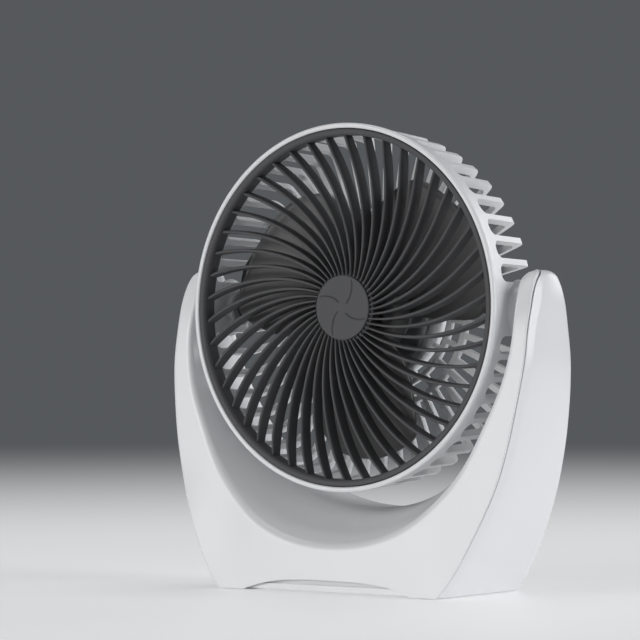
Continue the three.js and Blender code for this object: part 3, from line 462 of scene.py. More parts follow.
def rear_path(angle):
    """Outside of the rear shell's section, from the side seam round the back to the inner seam."""
    s = section_corners(angle)
    gap = s["seam_gap"]
    y0 = s["seam_out"] + gap
    side = []
    steps = 18
    shrink = s["seam_dip"]
    for k in range(steps + 1):
        y = y0 + (s["c"].y - y0) * (k / steps) ** 1.35
        t = (y - s["b"].y) / max(1e-6, s["c"].y - s["b"].y)
        r = s["b"].x + (s["c"].x - s["b"].x) * t + s["bulge"] * 4 * t * (1 - t)
        r -= shrink * (1 - smooth_step(0, SEAM_RISE, y - y0))
        side.append(Vector((r, y)))
    turn = bend(side[-3], s["c"], s["d"], 4.2 * s["round"], 4.2, 8)
    keep = [p for p in side[:-1] if p.y < turn[0].y - 0.05]
    while len(keep) < steps:
        keep.append(keep[-1].lerp(turn[0], 0.5))
    brow = bend(s["c"], s["d"], s["m"], 3.2, 3.2, 7)
    end_y = s["seam_in"] + gap
    end = s["d"].lerp(s["m"], min(0.97, max(0.05, (s["d"].y - end_y) / (s["d"].y - s["m"].y + 1e-6))))
    return (keep[:steps] + turn + fill(turn[-1], brow[0], 14) + brow + fill(brow[-1], end, 5) + [end])


def yoke_stations():
    """Angles at which the yoke's section is taken, closer together at the corners and the tips."""
    half = list(np.arange(0, 22, 1.0)) + list(np.arange(22, 31, 0.3)) + list(np.arange(31, 96, 1.0))
    half += [96 + (TIP_ANGLE - 0.01 - 96) * math.sin(k / 22 * math.pi / 2) for k in range(23)]
    return [-v for v in reversed(half[1:])] + half


def arch_floor(x):
    """Lowest point of the front shell at a distance from the middle."""
    b = base_settings()
    if abs(x) >= ARCH_HALF:
        return b.foot_height
    return b.foot_height + b.arch_height * (1 - (abs(x) / ARCH_HALF) ** ARCH_POWER)


def swept_shell(path_at, floor_at):
    """Grid of outside points of a shell; what would lie below the floor line is held on it."""
    rows = []
    for angle in yoke_stations():
        pts = []
        sa, ca = math.sin(angle * DEG), math.cos(angle * DEG)
        for p in path_at(angle):
            pts.append(Vector((p.x * sa, p.y, PIVOT.z - p.x * ca)))
        first = next(i for i, p in enumerate(pts) if p.z >= floor_at(p.x))
        if first > 0:
            lo, hi = pts[first - 1], pts[first]
            for _ in range(30):
                mid = (lo + hi) / 2
                if mid.z >= floor_at(mid.x):
                    hi = mid
                else:
                    lo = mid
            for i in range(first):
                pts[i] = hi.copy()
        for p in pts:
            p.z = max(p.z, floor_at(p.x))
        rows.append(pts)
    return rows


def grid_faces(rows):
    n = len(rows[0])
    faces = []
    for i in range(len(rows) - 1):
        for j in range(n - 1):
            faces.append((i * n + j, i * n + j + 1, (i + 1) * n + j + 1, (i + 1) * n + j))
    return faces


def thicken(rows, wall, inward):
    """Closed wall from a grid of outside points; inward (1 or -1) is the side its inside lies on."""
    n = len(rows[0])
    count = len(rows)
    grid = np.array([[tuple(p) for p in row] for row in rows])
    along = np.gradient(grid, axis=0)
    across = np.gradient(grid, axis=1)
    # Points held on the floor line share a place, so the way across is taken from the first free one.
    for i in range(count):
        for j in range(n - 2, -1, -1):
            if np.linalg.norm(grid[i, j + 1] - grid[i, j]) < 1e-6:
                across[i, j] = across[i, j + 1]
    normal = np.cross(across, along)
    length = np.linalg.norm(normal, axis=2, keepdims=True)
    normal = normal / np.maximum(length, 1e-9)
    # The wall thins towards the closed tips.
    taper = np.array([0.1 + 0.9 * tip_squash(abs(angle)) for angle in yoke_stations()])
    # So does the edge along the seam, over SEAM_THIN millimetres.
    step = np.linalg.norm(np.diff(grid, axis=1, prepend=grid[:, :1]), axis=2)
    edge = 0.35 + 0.65 * np.clip(np.cumsum(step, axis=1) / SEAM_THIN, 0, 1)
    inside = grid + inward * normal * wall * (taper[:, None] * edge)[:, :, None]
    inside[:, :, 2] = np.maximum(inside[:, :, 2], grid[:, :, 2].min())
    verts = [tuple(p) for p in grid.reshape(-1, 3)] + [tuple(p) for p in inside.reshape(-1, 3)]
    base = n * count
    outer = grid_faces(rows)
    faces = outer + [tuple(base + i for i in reversed(f)) for f in outer]
    for i in range(count - 1):
        for j in (0, n - 1):
            a, b = i * n + j, (i + 1) * n + j
            faces.append((a, b, base + b, base + a))
    for i in (0, count - 1):
        for j in range(n - 1):
            a, b = i * n + j, i * n + j + 1
            faces.append((a, b, base + b, base + a))
    return verts, faces


# ------------------------------------------------------------------ shader groups
def new_group(name, inputs, outputs):
    group = bpy.data.node_groups.new(name, "ShaderNodeTree")
    for label, kind, value in inputs:
        socket = group.interface.new_socket(name=label, in_out="INPUT", socket_type=kind)
        socket.default_value = value
    for label, kind in outputs:
        group.interface.new_socket(name=label, in_out="OUTPUT", socket_type=kind)
    return group, group.nodes.new("NodeGroupInput"), group.nodes.new("NodeGroupOutput")


def math_node(tree, operation, a, b=None, clamp=False):
    node = tree.nodes.new("ShaderNodeMath")
    node.operation = operation
    node.use_clamp = clamp
    for i, v in enumerate((a, b)):
        if v is None:
            continue
        if isinstance(v, (int, float)):
            node.inputs[i].default_value = v
        else:
            tree.links.new(v, node.inputs[i])
    return node.outputs[0]


def noise(tree, coords, scale, detail=3.0, rough=0.55):
    node = tree.nodes.new("ShaderNodeTexNoise")
    node.inputs["Detail"].default_value = detail
    node.inputs["Roughness"].default_value = rough
    if isinstance(scale, (int, float)):
        node.inputs["Scale"].default_value = scale
    else:
        tree.links.new(scale, node.inputs["Scale"])
    tree.links.new(coords, node.inputs["Vector"])
    return node.outputs["Fac"]


def object_coords(tree):
    return tree.nodes.new("ShaderNodeTexCoord").outputs["Object"]


def grain_group():
    """Spark-eroded mould grain: fine pits over a slow swell."""
    if "Moulded grain" in bpy.data.node_groups:
        return bpy.data.node_groups["Moulded grain"]
    g, gi, go = new_group("Moulded grain",
                          [("Scale", "NodeSocketFloat", 2600.0), ("Swell", "NodeSocketFloat", 60.0)],
                          [("Height", "NodeSocketFloat"), ("Fine", "NodeSocketFloat")])
    at = object_coords(g)
    fine = noise(g, at, gi.outputs["Scale"], 2.0, 0.6)
    cells = g.nodes.new("ShaderNodeTexVoronoi")
    cells.feature = "SMOOTH_F1"
    g.links.new(at, cells.inputs["Vector"])
    g.links.new(math_node(g, "MULTIPLY", gi.outputs["Scale"], 0.55), cells.inputs["Scale"])
    swell = noise(g, at, gi.outputs["Swell"], 1.0, 0.4)
    pits = math_node(g, "MULTIPLY", cells.outputs["Distance"], 0.5)
    height = math_node(g, "ADD", math_node(g, "MULTIPLY", fine, 0.6), pits)
    height = math_node(g, "ADD", height, math_node(g, "MULTIPLY", swell, 0.8))
    g.links.new(height, go.inputs["Height"])
    g.links.new(fine, go.inputs["Fine"])
    return g


def drift_group():
    """Slow colour drift between two tones."""
    if "Tone drift" in bpy.data.node_groups:
        return bpy.data.node_groups["Tone drift"]
    g, gi, go = new_group("Tone drift",
                          [("Tone A", "NodeSocketColor", (0.8, 0.8, 0.8, 1)),
                           ("Tone B", "NodeSocketColor", (0.75, 0.75, 0.75, 1)),
                           ("Scale", "NodeSocketFloat", 14.0)],
                          [("Color", "NodeSocketColor")])
    at = object_coords(g)
    mix = g.nodes.new("ShaderNodeMix")
    mix.data_type = "RGBA"
    blend = math_node(g, "MULTIPLY_ADD", noise(g, at, gi.outputs["Scale"], 4.0), 1.6, clamp=True)
    blend.node.inputs[2].default_value = -0.3
    g.links.new(blend, mix.inputs["Factor"])
    g.links.new(gi.outputs["Tone A"], mix.inputs["A"])
    g.links.new(gi.outputs["Tone B"], mix.inputs["B"])
    g.links.new(mix.outputs["Result"], go.inputs["Color"])
    return g


def wear_group():
    """Rubbed edges: the convex ridges of a mesh, broken up by noise."""
    if "Rubbed edges" in bpy.data.node_groups:
        return bpy.data.node_groups["Rubbed edges"]
    g, gi, go = new_group("Rubbed edges",
                          [("Start", "NodeSocketFloat", 0.53), ("Gain", "NodeSocketFloat", 8.0)],
                          [("Mask", "NodeSocketFloat")])
    ridge = g.nodes.new("ShaderNodeNewGeometry").outputs["Pointiness"]
    lifted = math_node(g, "MULTIPLY", math_node(g, "SUBTRACT", ridge, gi.outputs["Start"]),
                       gi.outputs["Gain"], clamp=True)
    broken = noise(g, object_coords(g), 220.0, 4.0, 0.7)
    g.links.new(math_node(g, "MULTIPLY", lifted, broken, clamp=True), go.inputs["Mask"])
    return g


def dust_group():
    """Dust that settles on surfaces facing up."""
    if "Settled dust" in bpy.data.node_groups:
        return bpy.data.node_groups["Settled dust"]
    g, gi, go = new_group("Settled dust",
                          [("Amount", "NodeSocketFloat", 0.3)], [("Mask", "NodeSocketFloat")])
    split = g.nodes.new("ShaderNodeSeparateXYZ")
    g.links.new(g.nodes.new("ShaderNodeNewGeometry").outputs["Normal"], split.inputs[0])
    up = math_node(g, "MULTIPLY", math_node(g, "SUBTRACT", split.outputs["Z"], 0.35), 1.3, clamp=True)
    patch = noise(g, object_coords(g), 90.0, 5.0, 0.65)
    mask = math_node(g, "MULTIPLY", math_node(g, "MULTIPLY", up, patch), gi.outputs["Amount"], clamp=True)
    g.links.new(mask, go.inputs["Mask"])
    return g


def use_group(tree, group, **values):
    node = tree.nodes.new("ShaderNodeGroup")
    node.node_tree = group
    for label, value in values.items():
        node.inputs[label.replace("_", " ")].default_value = value
    return node


def mixed(tree, factor, a, b):
    mix = tree.nodes.new("ShaderNodeMix")
    mix.data_type = "RGBA"
    tree.links.new(factor, mix.inputs["Factor"])
    for socket, value in ((mix.inputs["A"], a), (mix.inputs["B"], b)):
        if isinstance(value, tuple):
            socket.default_value = value
        else:
            tree.links.new(value, socket)
    return mix.outputs["Result"]


def rgba(colour, k=1.0):
    return (min(1, colour[0] * k), min(1, colour[1] * k), min(1, colour[2] * k), 1.0)


def finish_material(name, colour, drift=0.94, rough=0.45, spread=0.10, metal=0.0, grain=2600.0, bump=0.12,
                    wear_tone=1.12, wear=8.0, dust=0.3, coat=0.0, brushed=0.0, sheen=0.0):
    """A procedural finish: toned colour, rubbed edges, dust, broken roughness and a grain bump."""
    mat = bpy.data.materials.new(name)
    mat.use_nodes = True
    mat.diffuse_color = rgba(colour)
    tree = mat.node_tree
    shader = tree.nodes["Principled BSDF"]
    shader.inputs["Metallic"].default_value = metal
    shader.inputs["Coat Weight"].default_value = coat
    shader.inputs["Coat Roughness"].default_value = 0.2
    shader.inputs["Sheen Weight"].default_value = sheen
    tone = use_group(tree, drift_group(), Tone_A=rgba(colour), Tone_B=rgba(colour, drift), Scale=16.0)
    edge = use_group(tree, wear_group(), Gain=wear)
    settled = use_group(tree, dust_group(), Amount=dust)
    worn = mixed(tree, edge.outputs["Mask"], tone.outputs["Color"], rgba(colour, wear_tone))
    grey = tuple(0.45 * c + 0.55 * 0.42 for c in colour)
    tree.links.new(mixed(tree, settled.outputs["Mask"], worn, rgba(grey)), shader.inputs["Base Color"])
    skin = use_group(tree, grain_group(), Scale=grain)
    smear = noise(tree, object_coords(tree), 38.0, 4.0, 0.6)
    base = math_node(tree, "MULTIPLY_ADD", smear, spread)
    base.node.inputs[2].default_value = rough - spread / 2
    level = math_node(tree, "ADD", base, math_node(tree, "MULTIPLY", settled.outputs["Mask"], 0.25),
                      clamp=True)
    tree.links.new(level, shader.inputs["Roughness"])
    lift = tree.nodes.new("ShaderNodeBump")
    lift.inputs["Strength"].default_value = bump
    lift.inputs["Distance"].default_value = 0.00012
    height = skin.outputs["Height"]
    if brushed:
        stretch = tree.nodes.new("ShaderNodeMapping")
        stretch.inputs["Scale"].default_value = (1.0, 0.04, 1.0)
        tree.links.new(object_coords(tree), stretch.inputs["Vector"])
        lines = noise(tree, stretch.outputs["Vector"], 3500.0, 2.0, 0.7)
        height = math_node(tree, "ADD", height, math_node(tree, "MULTIPLY", lines, brushed))
    tree.links.new(height, lift.inputs["Height"])
    tree.links.new(lift.outputs["Normal"], shader.inputs["Normal"])
    return mat


def board_material(name):
    """Green solder mask with faint tracks under it."""
    mat = finish_material(name, (0.015, 0.13, 0.06), drift=0.8, rough=0.35, coat=0.3, dust=0.1, bump=0.05)
    tree = mat.node_tree
    shader = tree.nodes["Principled BSDF"]
    tracks = tree.nodes.new("ShaderNodeTexBrick")
    tracks.inputs["Scale"].default_value = 120.0
    tracks.inputs["Mortar Size"].default_value = 0.03
    tracks.inputs["Color1"].default_value = (0, 0, 0, 1)
    tracks.inputs["Color2"].default_value = (0, 0, 0, 1)
    tracks.inputs["Mortar"].default_value = (1, 1, 1, 1)
    turn = tree.nodes.new("ShaderNodeMapping")
    turn.inputs["Rotation"].default_value = (math.pi / 2, 0, 0)
    tree.links.new(object_coords(tree), turn.inputs["Vector"])
    tree.links.new(turn.outputs["Vector"], tracks.inputs["Vector"])
    before = shader.inputs["Base Color"].links[0].from_socket
    tree.links.new(mixed(tree, tracks.outputs["Color"], before, (0.05, 0.25, 0.10, 1)),
                   shader.inputs["Base Color"])
    return mat


def lens_material(name):
    """Clear lens with a cool tint and a faint glow from the light behind it."""
    mat = finish_material(name, (0.52, 0.78, 0.95), drift=0.85, rough=0.12, coat=0.6, dust=0.05, bump=0.03)
    shader = mat.node_tree.nodes["Principled BSDF"]
    shader.inputs["Emission Strength"].default_value = 0.15
    shader.inputs["Emission Color"].default_value = (0.4, 0.8, 1.0, 1)
    return mat


def material(slot):
    """The finish of a material slot, made the first time it is asked for."""
    if slot in bpy.data.materials:
        return bpy.data.materials[slot]
    f = finish_settings()
    recipes = {
        "shell_white": dict(colour=tuple(f.shell), drift=0.975, rough=0.40, spread=0.10, bump=0.10,
                            wear_tone=1.06, wear=3.0, dust=0.10, coat=0.08),
        "grille_dark": dict(colour=tuple(f.grille), drift=0.88, rough=0.46, spread=0.14, bump=0.16,
                            wear_tone=1.6, wear=5.0, dust=0.04),
        "blade_grey": dict(colour=tuple(f.blade), drift=0.90, rough=0.36, spread=0.12, bump=0.08,
                           wear_tone=1.3, wear=5.0, dust=0.05, coat=0.03),
        "foot_rubber": dict(colour=tuple(f.rubber), drift=0.8, rough=0.85, spread=0.10, bump=0.35,
                            grain=1500.0, wear_tone=1.8, dust=0.3, sheen=0.15),
        "screw_steel": dict(colour=(0.55, 0.56, 0.58), drift=0.85, rough=0.32, spread=0.18, metal=1.0,
                            bump=0.10, dust=0.08, brushed=0.8),
        "ballast_steel": dict(colour=(0.42, 0.43, 0.45), drift=0.8, rough=0.42, spread=0.22, metal=1.0,
                              bump=0.15, dust=0.1, brushed=1.2),
        "motor_steel": dict(colour=(0.50, 0.51, 0.53), drift=0.85, rough=0.30, spread=0.16, metal=1.0,
                            bump=0.08, dust=0.1, brushed=1.0),
        "socket_steel": dict(colour=(0.60, 0.61, 0.63), drift=0.9, rough=0.28, spread=0.14, metal=1.0,
                             bump=0.06, dust=0.05, brushed=0.6),
        "black_steel": dict(colour=(0.030, 0.030, 0.033), drift=0.7, rough=0.42, spread=0.16, metal=0.6,
                            bump=0.12, wear_tone=4.0, dust=0.1),
        "brass": dict(colour=(0.60, 0.44, 0.18), drift=0.8, rough=0.38, spread=0.18, metal=1.0, bump=0.2,
                      grain=3800.0, dust=0.05),
        "black_plastic": dict(colour=(0.018, 0.018, 0.020), drift=0.8, rough=0.48, bump=0.15, wear_tone=2.5),
        "button_grey": dict(colour=(0.27, 0.28, 0.29), drift=0.92, rough=0.50, bump=0.22, wear_tone=1.25),
        "washer_grey": dict(colour=(0.30, 0.31, 0.32), drift=0.9, rough=0.42, bump=0.10, wear_tone=1.2),
        "lead_black": dict(colour=(0.015, 0.015, 0.017), drift=0.8, rough=0.55, bump=0.2, wear_tone=2.0),
    }
    if slot == "board_green":
        return board_material(slot)
    if slot == "light_lens":
        return lens_material(slot)
    return finish_material(slot, **recipes[slot])


# ------------------------------------------------------------------ layout shared by the head pieces
FRONT = -22.0
TAPER = math.tan(4.5 * DEG)
LIP = 2.2
GAP = 0.3
BAR_DEPTH = 3.0
FIN_DEPTH = 3.4
SLOT_START = FRONT + 8.0
GRILLE_DEPTH = 7.6
RIM_WALL = 2.7
HUB_RADIUS = 13.6
ROTOR_RADIUS = 20.0
CUP_RADIUS = 30.0
CUP_WALL = 2.0
CUP_FLOOR = 2.4
RING_A = 42.0
RING_B = 34.5
MOTOR_RADIUS = 16.0
MOTOR_FLANGE = 24.7
PIN_BORE = 6.3
BOSS_RADIUS = 9.4
# Slots less than this many degrees from a boss start only on the back.
PIVOT_ZONE = 8.3
# Width of a bar on the back where it meets the lattice ring, and length of a slot's rounded end.
REAR_BAR = 2.3
SLOT_ROUND = 3.4
# Radius of the basket's rear corner, outside and inside.
CORNER = 3.2
CORNER_INSIDE = 2.6


def back_plane():
    return FRONT + head_settings().depth


def wall_radius(y):
    return base_settings().ring_radius - 0.2 - (y - FRONT) * TAPER


def grille_radius():
    return base_settings().ring_radius - LIP - GAP


def basket_rows():
    """Rows of the basket wall from the lip round the rear corner: outside point, inside point and
    the distance run since the slots began (negative on the closed ring)."""
    back = back_plane()
    r_in = grille_radius() + GAP
    ring = base_settings().ring_radius
    rows = []
    lip = [(r_in, 0.75), (r_in + 0.10, 0.40), (r_in + 0.4, 0.12), (r_in + 0.9, 0.0), (ring - 0.8, 0.0),
           (ring - 0.35, 0.16), (ring - 0.1, 0.5), (ring, 1.0), (ring, 1.7)]
    for i, (r, dy) in enumerate(lip):
        rows.append(((r, FRONT + dy), (r_in, FRONT + 0.75 + i * 0.16), None))
    for y in np.linspace(FRONT + 2.6, SLOT_START - 0.6, 6):
        rows.append(((wall_radius(y), y), (r_in, y), None))
    inner_step = FRONT + GRILLE_DEPTH + 0.4
    # Side stretch, with rows close together round the slot's front end.
    run = [0.0, 0.12, 0.35, 0.75, 1.25, 1.9, 2.6, 3.4, 4.4]
    corner_start = back - CORNER
    corner_inside = back - BAR_DEPTH - CORNER_INSIDE
    run += list(np.linspace(5.6, corner_start - SLOT_START, 8))
    for t in run:
        y = SLOT_START + t
        inner = (r_in, y) if y < inner_step else (wall_radius(y) - FIN_DEPTH, min(y, corner_inside))
        rows.append(((wall_radius(y), y), inner, t))
        if y < inner_step <= SLOT_START + run[min(run.index(t) + 1, len(run) - 1)]:
            for r in (r_in, wall_radius(inner_step) - FIN_DEPTH):
                rows.append(((wall_radius(inner_step), inner_step), (r, inner_step), inner_step - SLOT_START))
    # Rear corner.
    r0 = wall_radius(corner_start)
    inner_r = r0 - FIN_DEPTH
    steps = 8
    for k in range(1, steps + 1):
        a = k / steps * math.pi / 2
        outer = (r0 - CORNER + CORNER * math.cos(a), corner_start + CORNER * math.sin(a))
        inner = (inner_r - CORNER_INSIDE + CORNER_INSIDE * math.cos(a),
                 corner_inside + CORNER_INSIDE * math.sin(a))
        rows.append((outer, inner, corner_start - SLOT_START + k))
    for r in np.linspace(r0 - CORNER - 0.6, RING_A - 0.2, 14):
        rows.append(((r, back), (min(r, inner_r - CORNER_INSIDE - 0.1), back - BAR_DEPTH),
                     corner_start - SLOT_START + 2 * steps + (r0 - r)))
    return rows


def slot_edge(radius, run, begin, bar_width):
    """Half angle of the solid beside a fin: it narrows from half a pitch to half a fin."""
    half_pitch = math.pi / head_settings().fin_count
    if run is None or run <= begin:
        return half_pitch
    bar = math.asin(min(1.0, bar_width / 2 / radius))
    t = min(1.0, (run - begin) / SLOT_ROUND)
    opening = math.sqrt(max(0.0, 1 - (1 - t) ** 2))
    return half_pitch + (bar - half_pitch) * opening


def build_basket():
    """White rear basket: lip, slotted wall, fins that turn onto the back, rings and motor cup."""
    h = head_settings()
    rows = basket_rows()
    pitch = 2 * math.pi / h.fin_count
    cols = 4
    soup = Soup()
    rear_begin = next(r[2] for r in rows if r[2] is not None and r[0][1] >= back_plane() - 0.01)
    for k in range(h.fin_count):
        centre = k * pitch

        def begin(side):
            slot_middle = (centre + side * pitch / 2) / DEG
            off = abs(((slot_middle + 90) % 180) - 90)
            return rear_begin if off < PIVOT_ZONE else 0.0

        starts = {-1: begin(-1), 1: begin(1)}
        verts = []
        open_here = []
        for outer, inner, run in rows:
            # The rear bars narrow towards the lattice ring.
            width = REAR_BAR + (h.fin_width - REAR_BAR) * smooth_step(RING_A, 68, outer[0])
            flags = {}
            for point in (outer, inner):
                for j in range(-cols, cols + 1):
                    side = 1 if j > 0 else -1
                    edge = slot_edge(outer[0], run, starts[side], width)
                    scale = outer[0] / point[0] if edge < pitch / 2 - 1e-9 else 1.0
                    a = centre + side * min(edge * scale, pitch / 2) * abs(j) / cols
                    verts.append((point[0] * math.cos(a), point[1], point[0] * math.sin(a)))
                    flags[side] = edge < pitch / 2 - 1e-6
            open_here.append(flags)
        n = 2 * (2 * cols + 1)
        half = 2 * cols + 1
        faces = []
        for i in range(len(rows) - 1):
            for j in range(2 * cols):
                a, b = i * n + j, (i + 1) * n + j
                faces.append((a, a + 1, b + 1, b))
                a, b = a + half, b + half
                faces.append((a, b, b + 1, a + 1))
            for side, col in ((-1, 0), (1, 2 * cols)):
                if open_here[i][side] or open_here[i + 1][side]:
                    a, b = i * n + col, (i + 1) * n + col
                    faces.append((a, b, b + half, a + half))
        for i in (0, len(rows) - 1):
            for j in range(2 * cols):
                a = i * n + j
                faces.append((a, a + 1, a + 1 + half, a + half))
        soup.add(verts, faces)
    back = back_plane()
    for radius, half_width, top in ((RING_A, 1.25, 0.0), (RING_B, 1.05, -0.1)):
        near, far = radius - half_width, radius + half_width
        low, high = back - BAR_DEPTH - 0.1, back + 0.05 + top
        ring = fillet([(near, low, 0.5), (far, low, 0.5), (far, high, 0.6), (near, high, 0.6)], 3)
        soup.add(*lathe(ring, 192))
    bar = fillet([(-0.95, back - BAR_DEPTH + 0.1, 0.35), (0.95, back - BAR_DEPTH + 0.1, 0.35),
                  (0.95, back - 0.15, 0.45), (-0.95, back - 0.15, 0.45)], 2)
    for k in range(24):
        for r0, r1, every in ((RING_B, RING_A, 1), (CUP_RADIUS - 0.8, RING_B, 2)):
            if k % every:
                continue
            loops = [[(r, y, w) for w, y in bar] for r in np.linspace(r0, r1, 4)]
            angle = (k * 15 + (7.5 if every == 1 else 0)) * DEG
            soup.turned(*loft(loops), -angle)
    floor_y = back - CUP_FLOOR
    inside = CUP_RADIUS - CUP_WALL
    cup = fillet([(inside, back - 5.2, 0.5), (CUP_RADIUS, back - 5.2, 0.5), (CUP_RADIUS, back + 2, 0.8),
                  (inside, back + 2, 0.4), (inside, floor_y + 2.2, 0), (2.6, floor_y + 2.2, 0),
                  (2.6, floor_y, 0), (inside, floor_y, 0.8)], 3)
    soup.add(*lathe(cup, 160))
    basket = make_piece("basket", soup.verts, soup.faces, HEAD, smooth=38)
    bevel(basket, 0.45, 2, 50)
    settle(basket, "head", "shell_white", "head_basket")


def build_bosses():
    """Round bosses that carry the head on its pins, with a flared root on the wall."""
    outer_face = node_box("tilt_washer_right")[0].x - GAP
    inner_face = wall_radius(0) - FIN_DEPTH + 0.6
    wall = wall_radius(0)
    for side, name in ((1, "right"), (-1, "left")):
        outline = fillet([(PIN_BORE, inner_face, 0.2), (BOSS_RADIUS, inner_face, 0.3),
                          (BOSS_RADIUS, wall - 1.4, 0), (12.4, wall - 0.9, 0.3), (10.2, wall + 0.9, 0.8),
                          (9.5, wall + 2.2, 1.2), (BOSS_RADIUS, outer_face, 0.8),
                          (PIN_BORE, outer_face, 0.5)], 4)
        verts, faces = lathe([(r, side * x) for r, x in outline], 72, axis="X")
        piece = make_piece("pivot_boss_" + name, verts, faces, HEAD, smooth=50)
        settle(piece, "head", "shell_white", "head_basket")


# A vane's sweep in degrees has a logarithmic part and an even part, both from VANE_ROOT outward.
# The first vane starts VANE_START degrees round.
VANE_ROOT = 14
VANE_LOG = 8.92
VANE_EVEN = 0.2866
VANE_START = 145.8


def vane_angle(radius):
    """How far a vane has swept round at a radius, from its root."""
    return (VANE_LOG * math.log(max(radius, 9.0) / VANE_ROOT) + VANE_EVEN * (radius - VANE_ROOT)) * DEG


def build_grille():
    """Dark front grille: deep rim, swirled vanes and the collar behind the hub disc."""
    h = head_settings()
    soup = Soup()
    outer = grille_radius()
    inner = outer - RIM_WALL
    rim = fillet([(inner + 0.9, FRONT + 0.2, 0.5), (outer, FRONT + 0.2, 0.5),
                  (outer, FRONT + GRILLE_DEPTH, 0.4), (inner, FRONT + GRILLE_DEPTH, 0.4),
                  (inner, FRONT + 1.2, 0.6)], 3)
    soup.add(*lathe(rim, 240))
    y0, y1 = FRONT + 1.3, FRONT + 7.0
    soup.add(*lathe(fillet([(8.0, FRONT + 2.6, 0), (HUB_RADIUS + 1.3, FRONT + 2.6, 0.5),
                            (HUB_RADIUS + 1.3, y1 + 0.2, 0.6), (8.0, y1 + 0.2, 0)], 3), 138))
    radii = [HUB_RADIUS + 0.35 + (inner + 0.9 - HUB_RADIUS - 0.35) * (t ** 1.15)
             for t in np.linspace(0, 1, 38)]
    loops = []
    for r in radii:
        a = vane_angle(r)
        slope = math.atan(r * (VANE_LOG / r + VANE_EVEN) * DEG)
        front = h.vane_front * (0.62 + 0.38 * smooth_step(14, 34, r)) / 2
        rear = front * 1.35
        profile = [(-rear, y1), (-front * 1.06, y0 + 1.6), (-front, y0 + 0.45), (-front * 0.62, y0 + 0.1),
                   (0.0, y0), (front * 0.62, y0 + 0.1), (front, y0 + 0.45), (front * 1.06, y0 + 1.6),
                   (rear, y1)]
        # The front edge dips a little where the vane meets the rim.
        dip = 1.1 * smooth_step(inner - 9, inner + 0.5, r)
        loop = []
        for w, y in profile:
            b = a + (w / math.cos(slope)) / r
            yy = y + dip * (1 - smooth_step(y0, y1, y))
            loop.append((r * math.cos(b), yy, r * math.sin(b)))
        loops.append(loop)
    verts, faces = loft(loops)
    for k in range(h.vane_count):
        soup.turned(verts, faces, -(VANE_START * DEG + 2 * math.pi * k / h.vane_count))
    grille = make_piece("swirl_grille", soup.verts, soup.faces, HEAD, smooth=42)
    settle(grille, "head", "grille_dark", "front_grille")


def build_badge():
    """Hub disc with four curved grooves that meet near the middle, a plain pinwheel."""
    rings, around = 46, 240
    radius = HUB_RADIUS
    verts = []

    def groove(r, a):
        if not 2.4 < r < 12.9:
            return 0.0
        centre_line = (30 + 3.1 * r) * DEG
        off = ((a - centre_line + math.pi / 4) % (math.pi / 2)) - math.pi / 4
        width = abs(off) * r
        fade = smooth_step(2.4, 3.4, r) * (1 - smooth_step(12.3, 12.9, r))
        return 0.55 * fade * math.exp(-(width / 0.30) ** 2)

    front, back = FRONT + 0.9, FRONT + 2.3
    profile = [radius * (i / (rings - 4)) ** 0.9 * 0.965 for i in range(1, rings - 3)]
    for r in profile:
        for k in range(around):
            a = 2 * math.pi * k / around
            dome = 0.12 * (r / radius) ** 2
            verts.append((r * math.cos(a), front + dome + groove(r, a), r * math.sin(a)))
    for r, y in ((radius - 0.22, front + 0.18), (radius - 0.04, front + 0.4), (radius, front + 0.7),
                 (radius, back)):
        for k in range(around):
            a = 2 * math.pi * k / around
            verts.append((r * math.cos(a), y, r * math.sin(a)))
    count = len(verts) // around
    faces = []
    for i in range(count - 1):
        for k in range(around):
            m = (k + 1) % around
            faces.append((i * around + k, i * around + m, (i + 1) * around + m, (i + 1) * around + k))
    for at, y in ((0, front), ((count - 1) * around, back)):
        verts.append((0, y, 0))
        c = len(verts) - 1
        faces.extend((c, at + k, at + (k + 1) % around) for k in range(around))
    badge = make_piece("hub_disc", verts, faces, HEAD, smooth=60)
    settle(badge, "head", "grille_dark", "grille_badge")


# The blade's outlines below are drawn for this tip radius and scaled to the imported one.
BLADE_DRAWN = 64


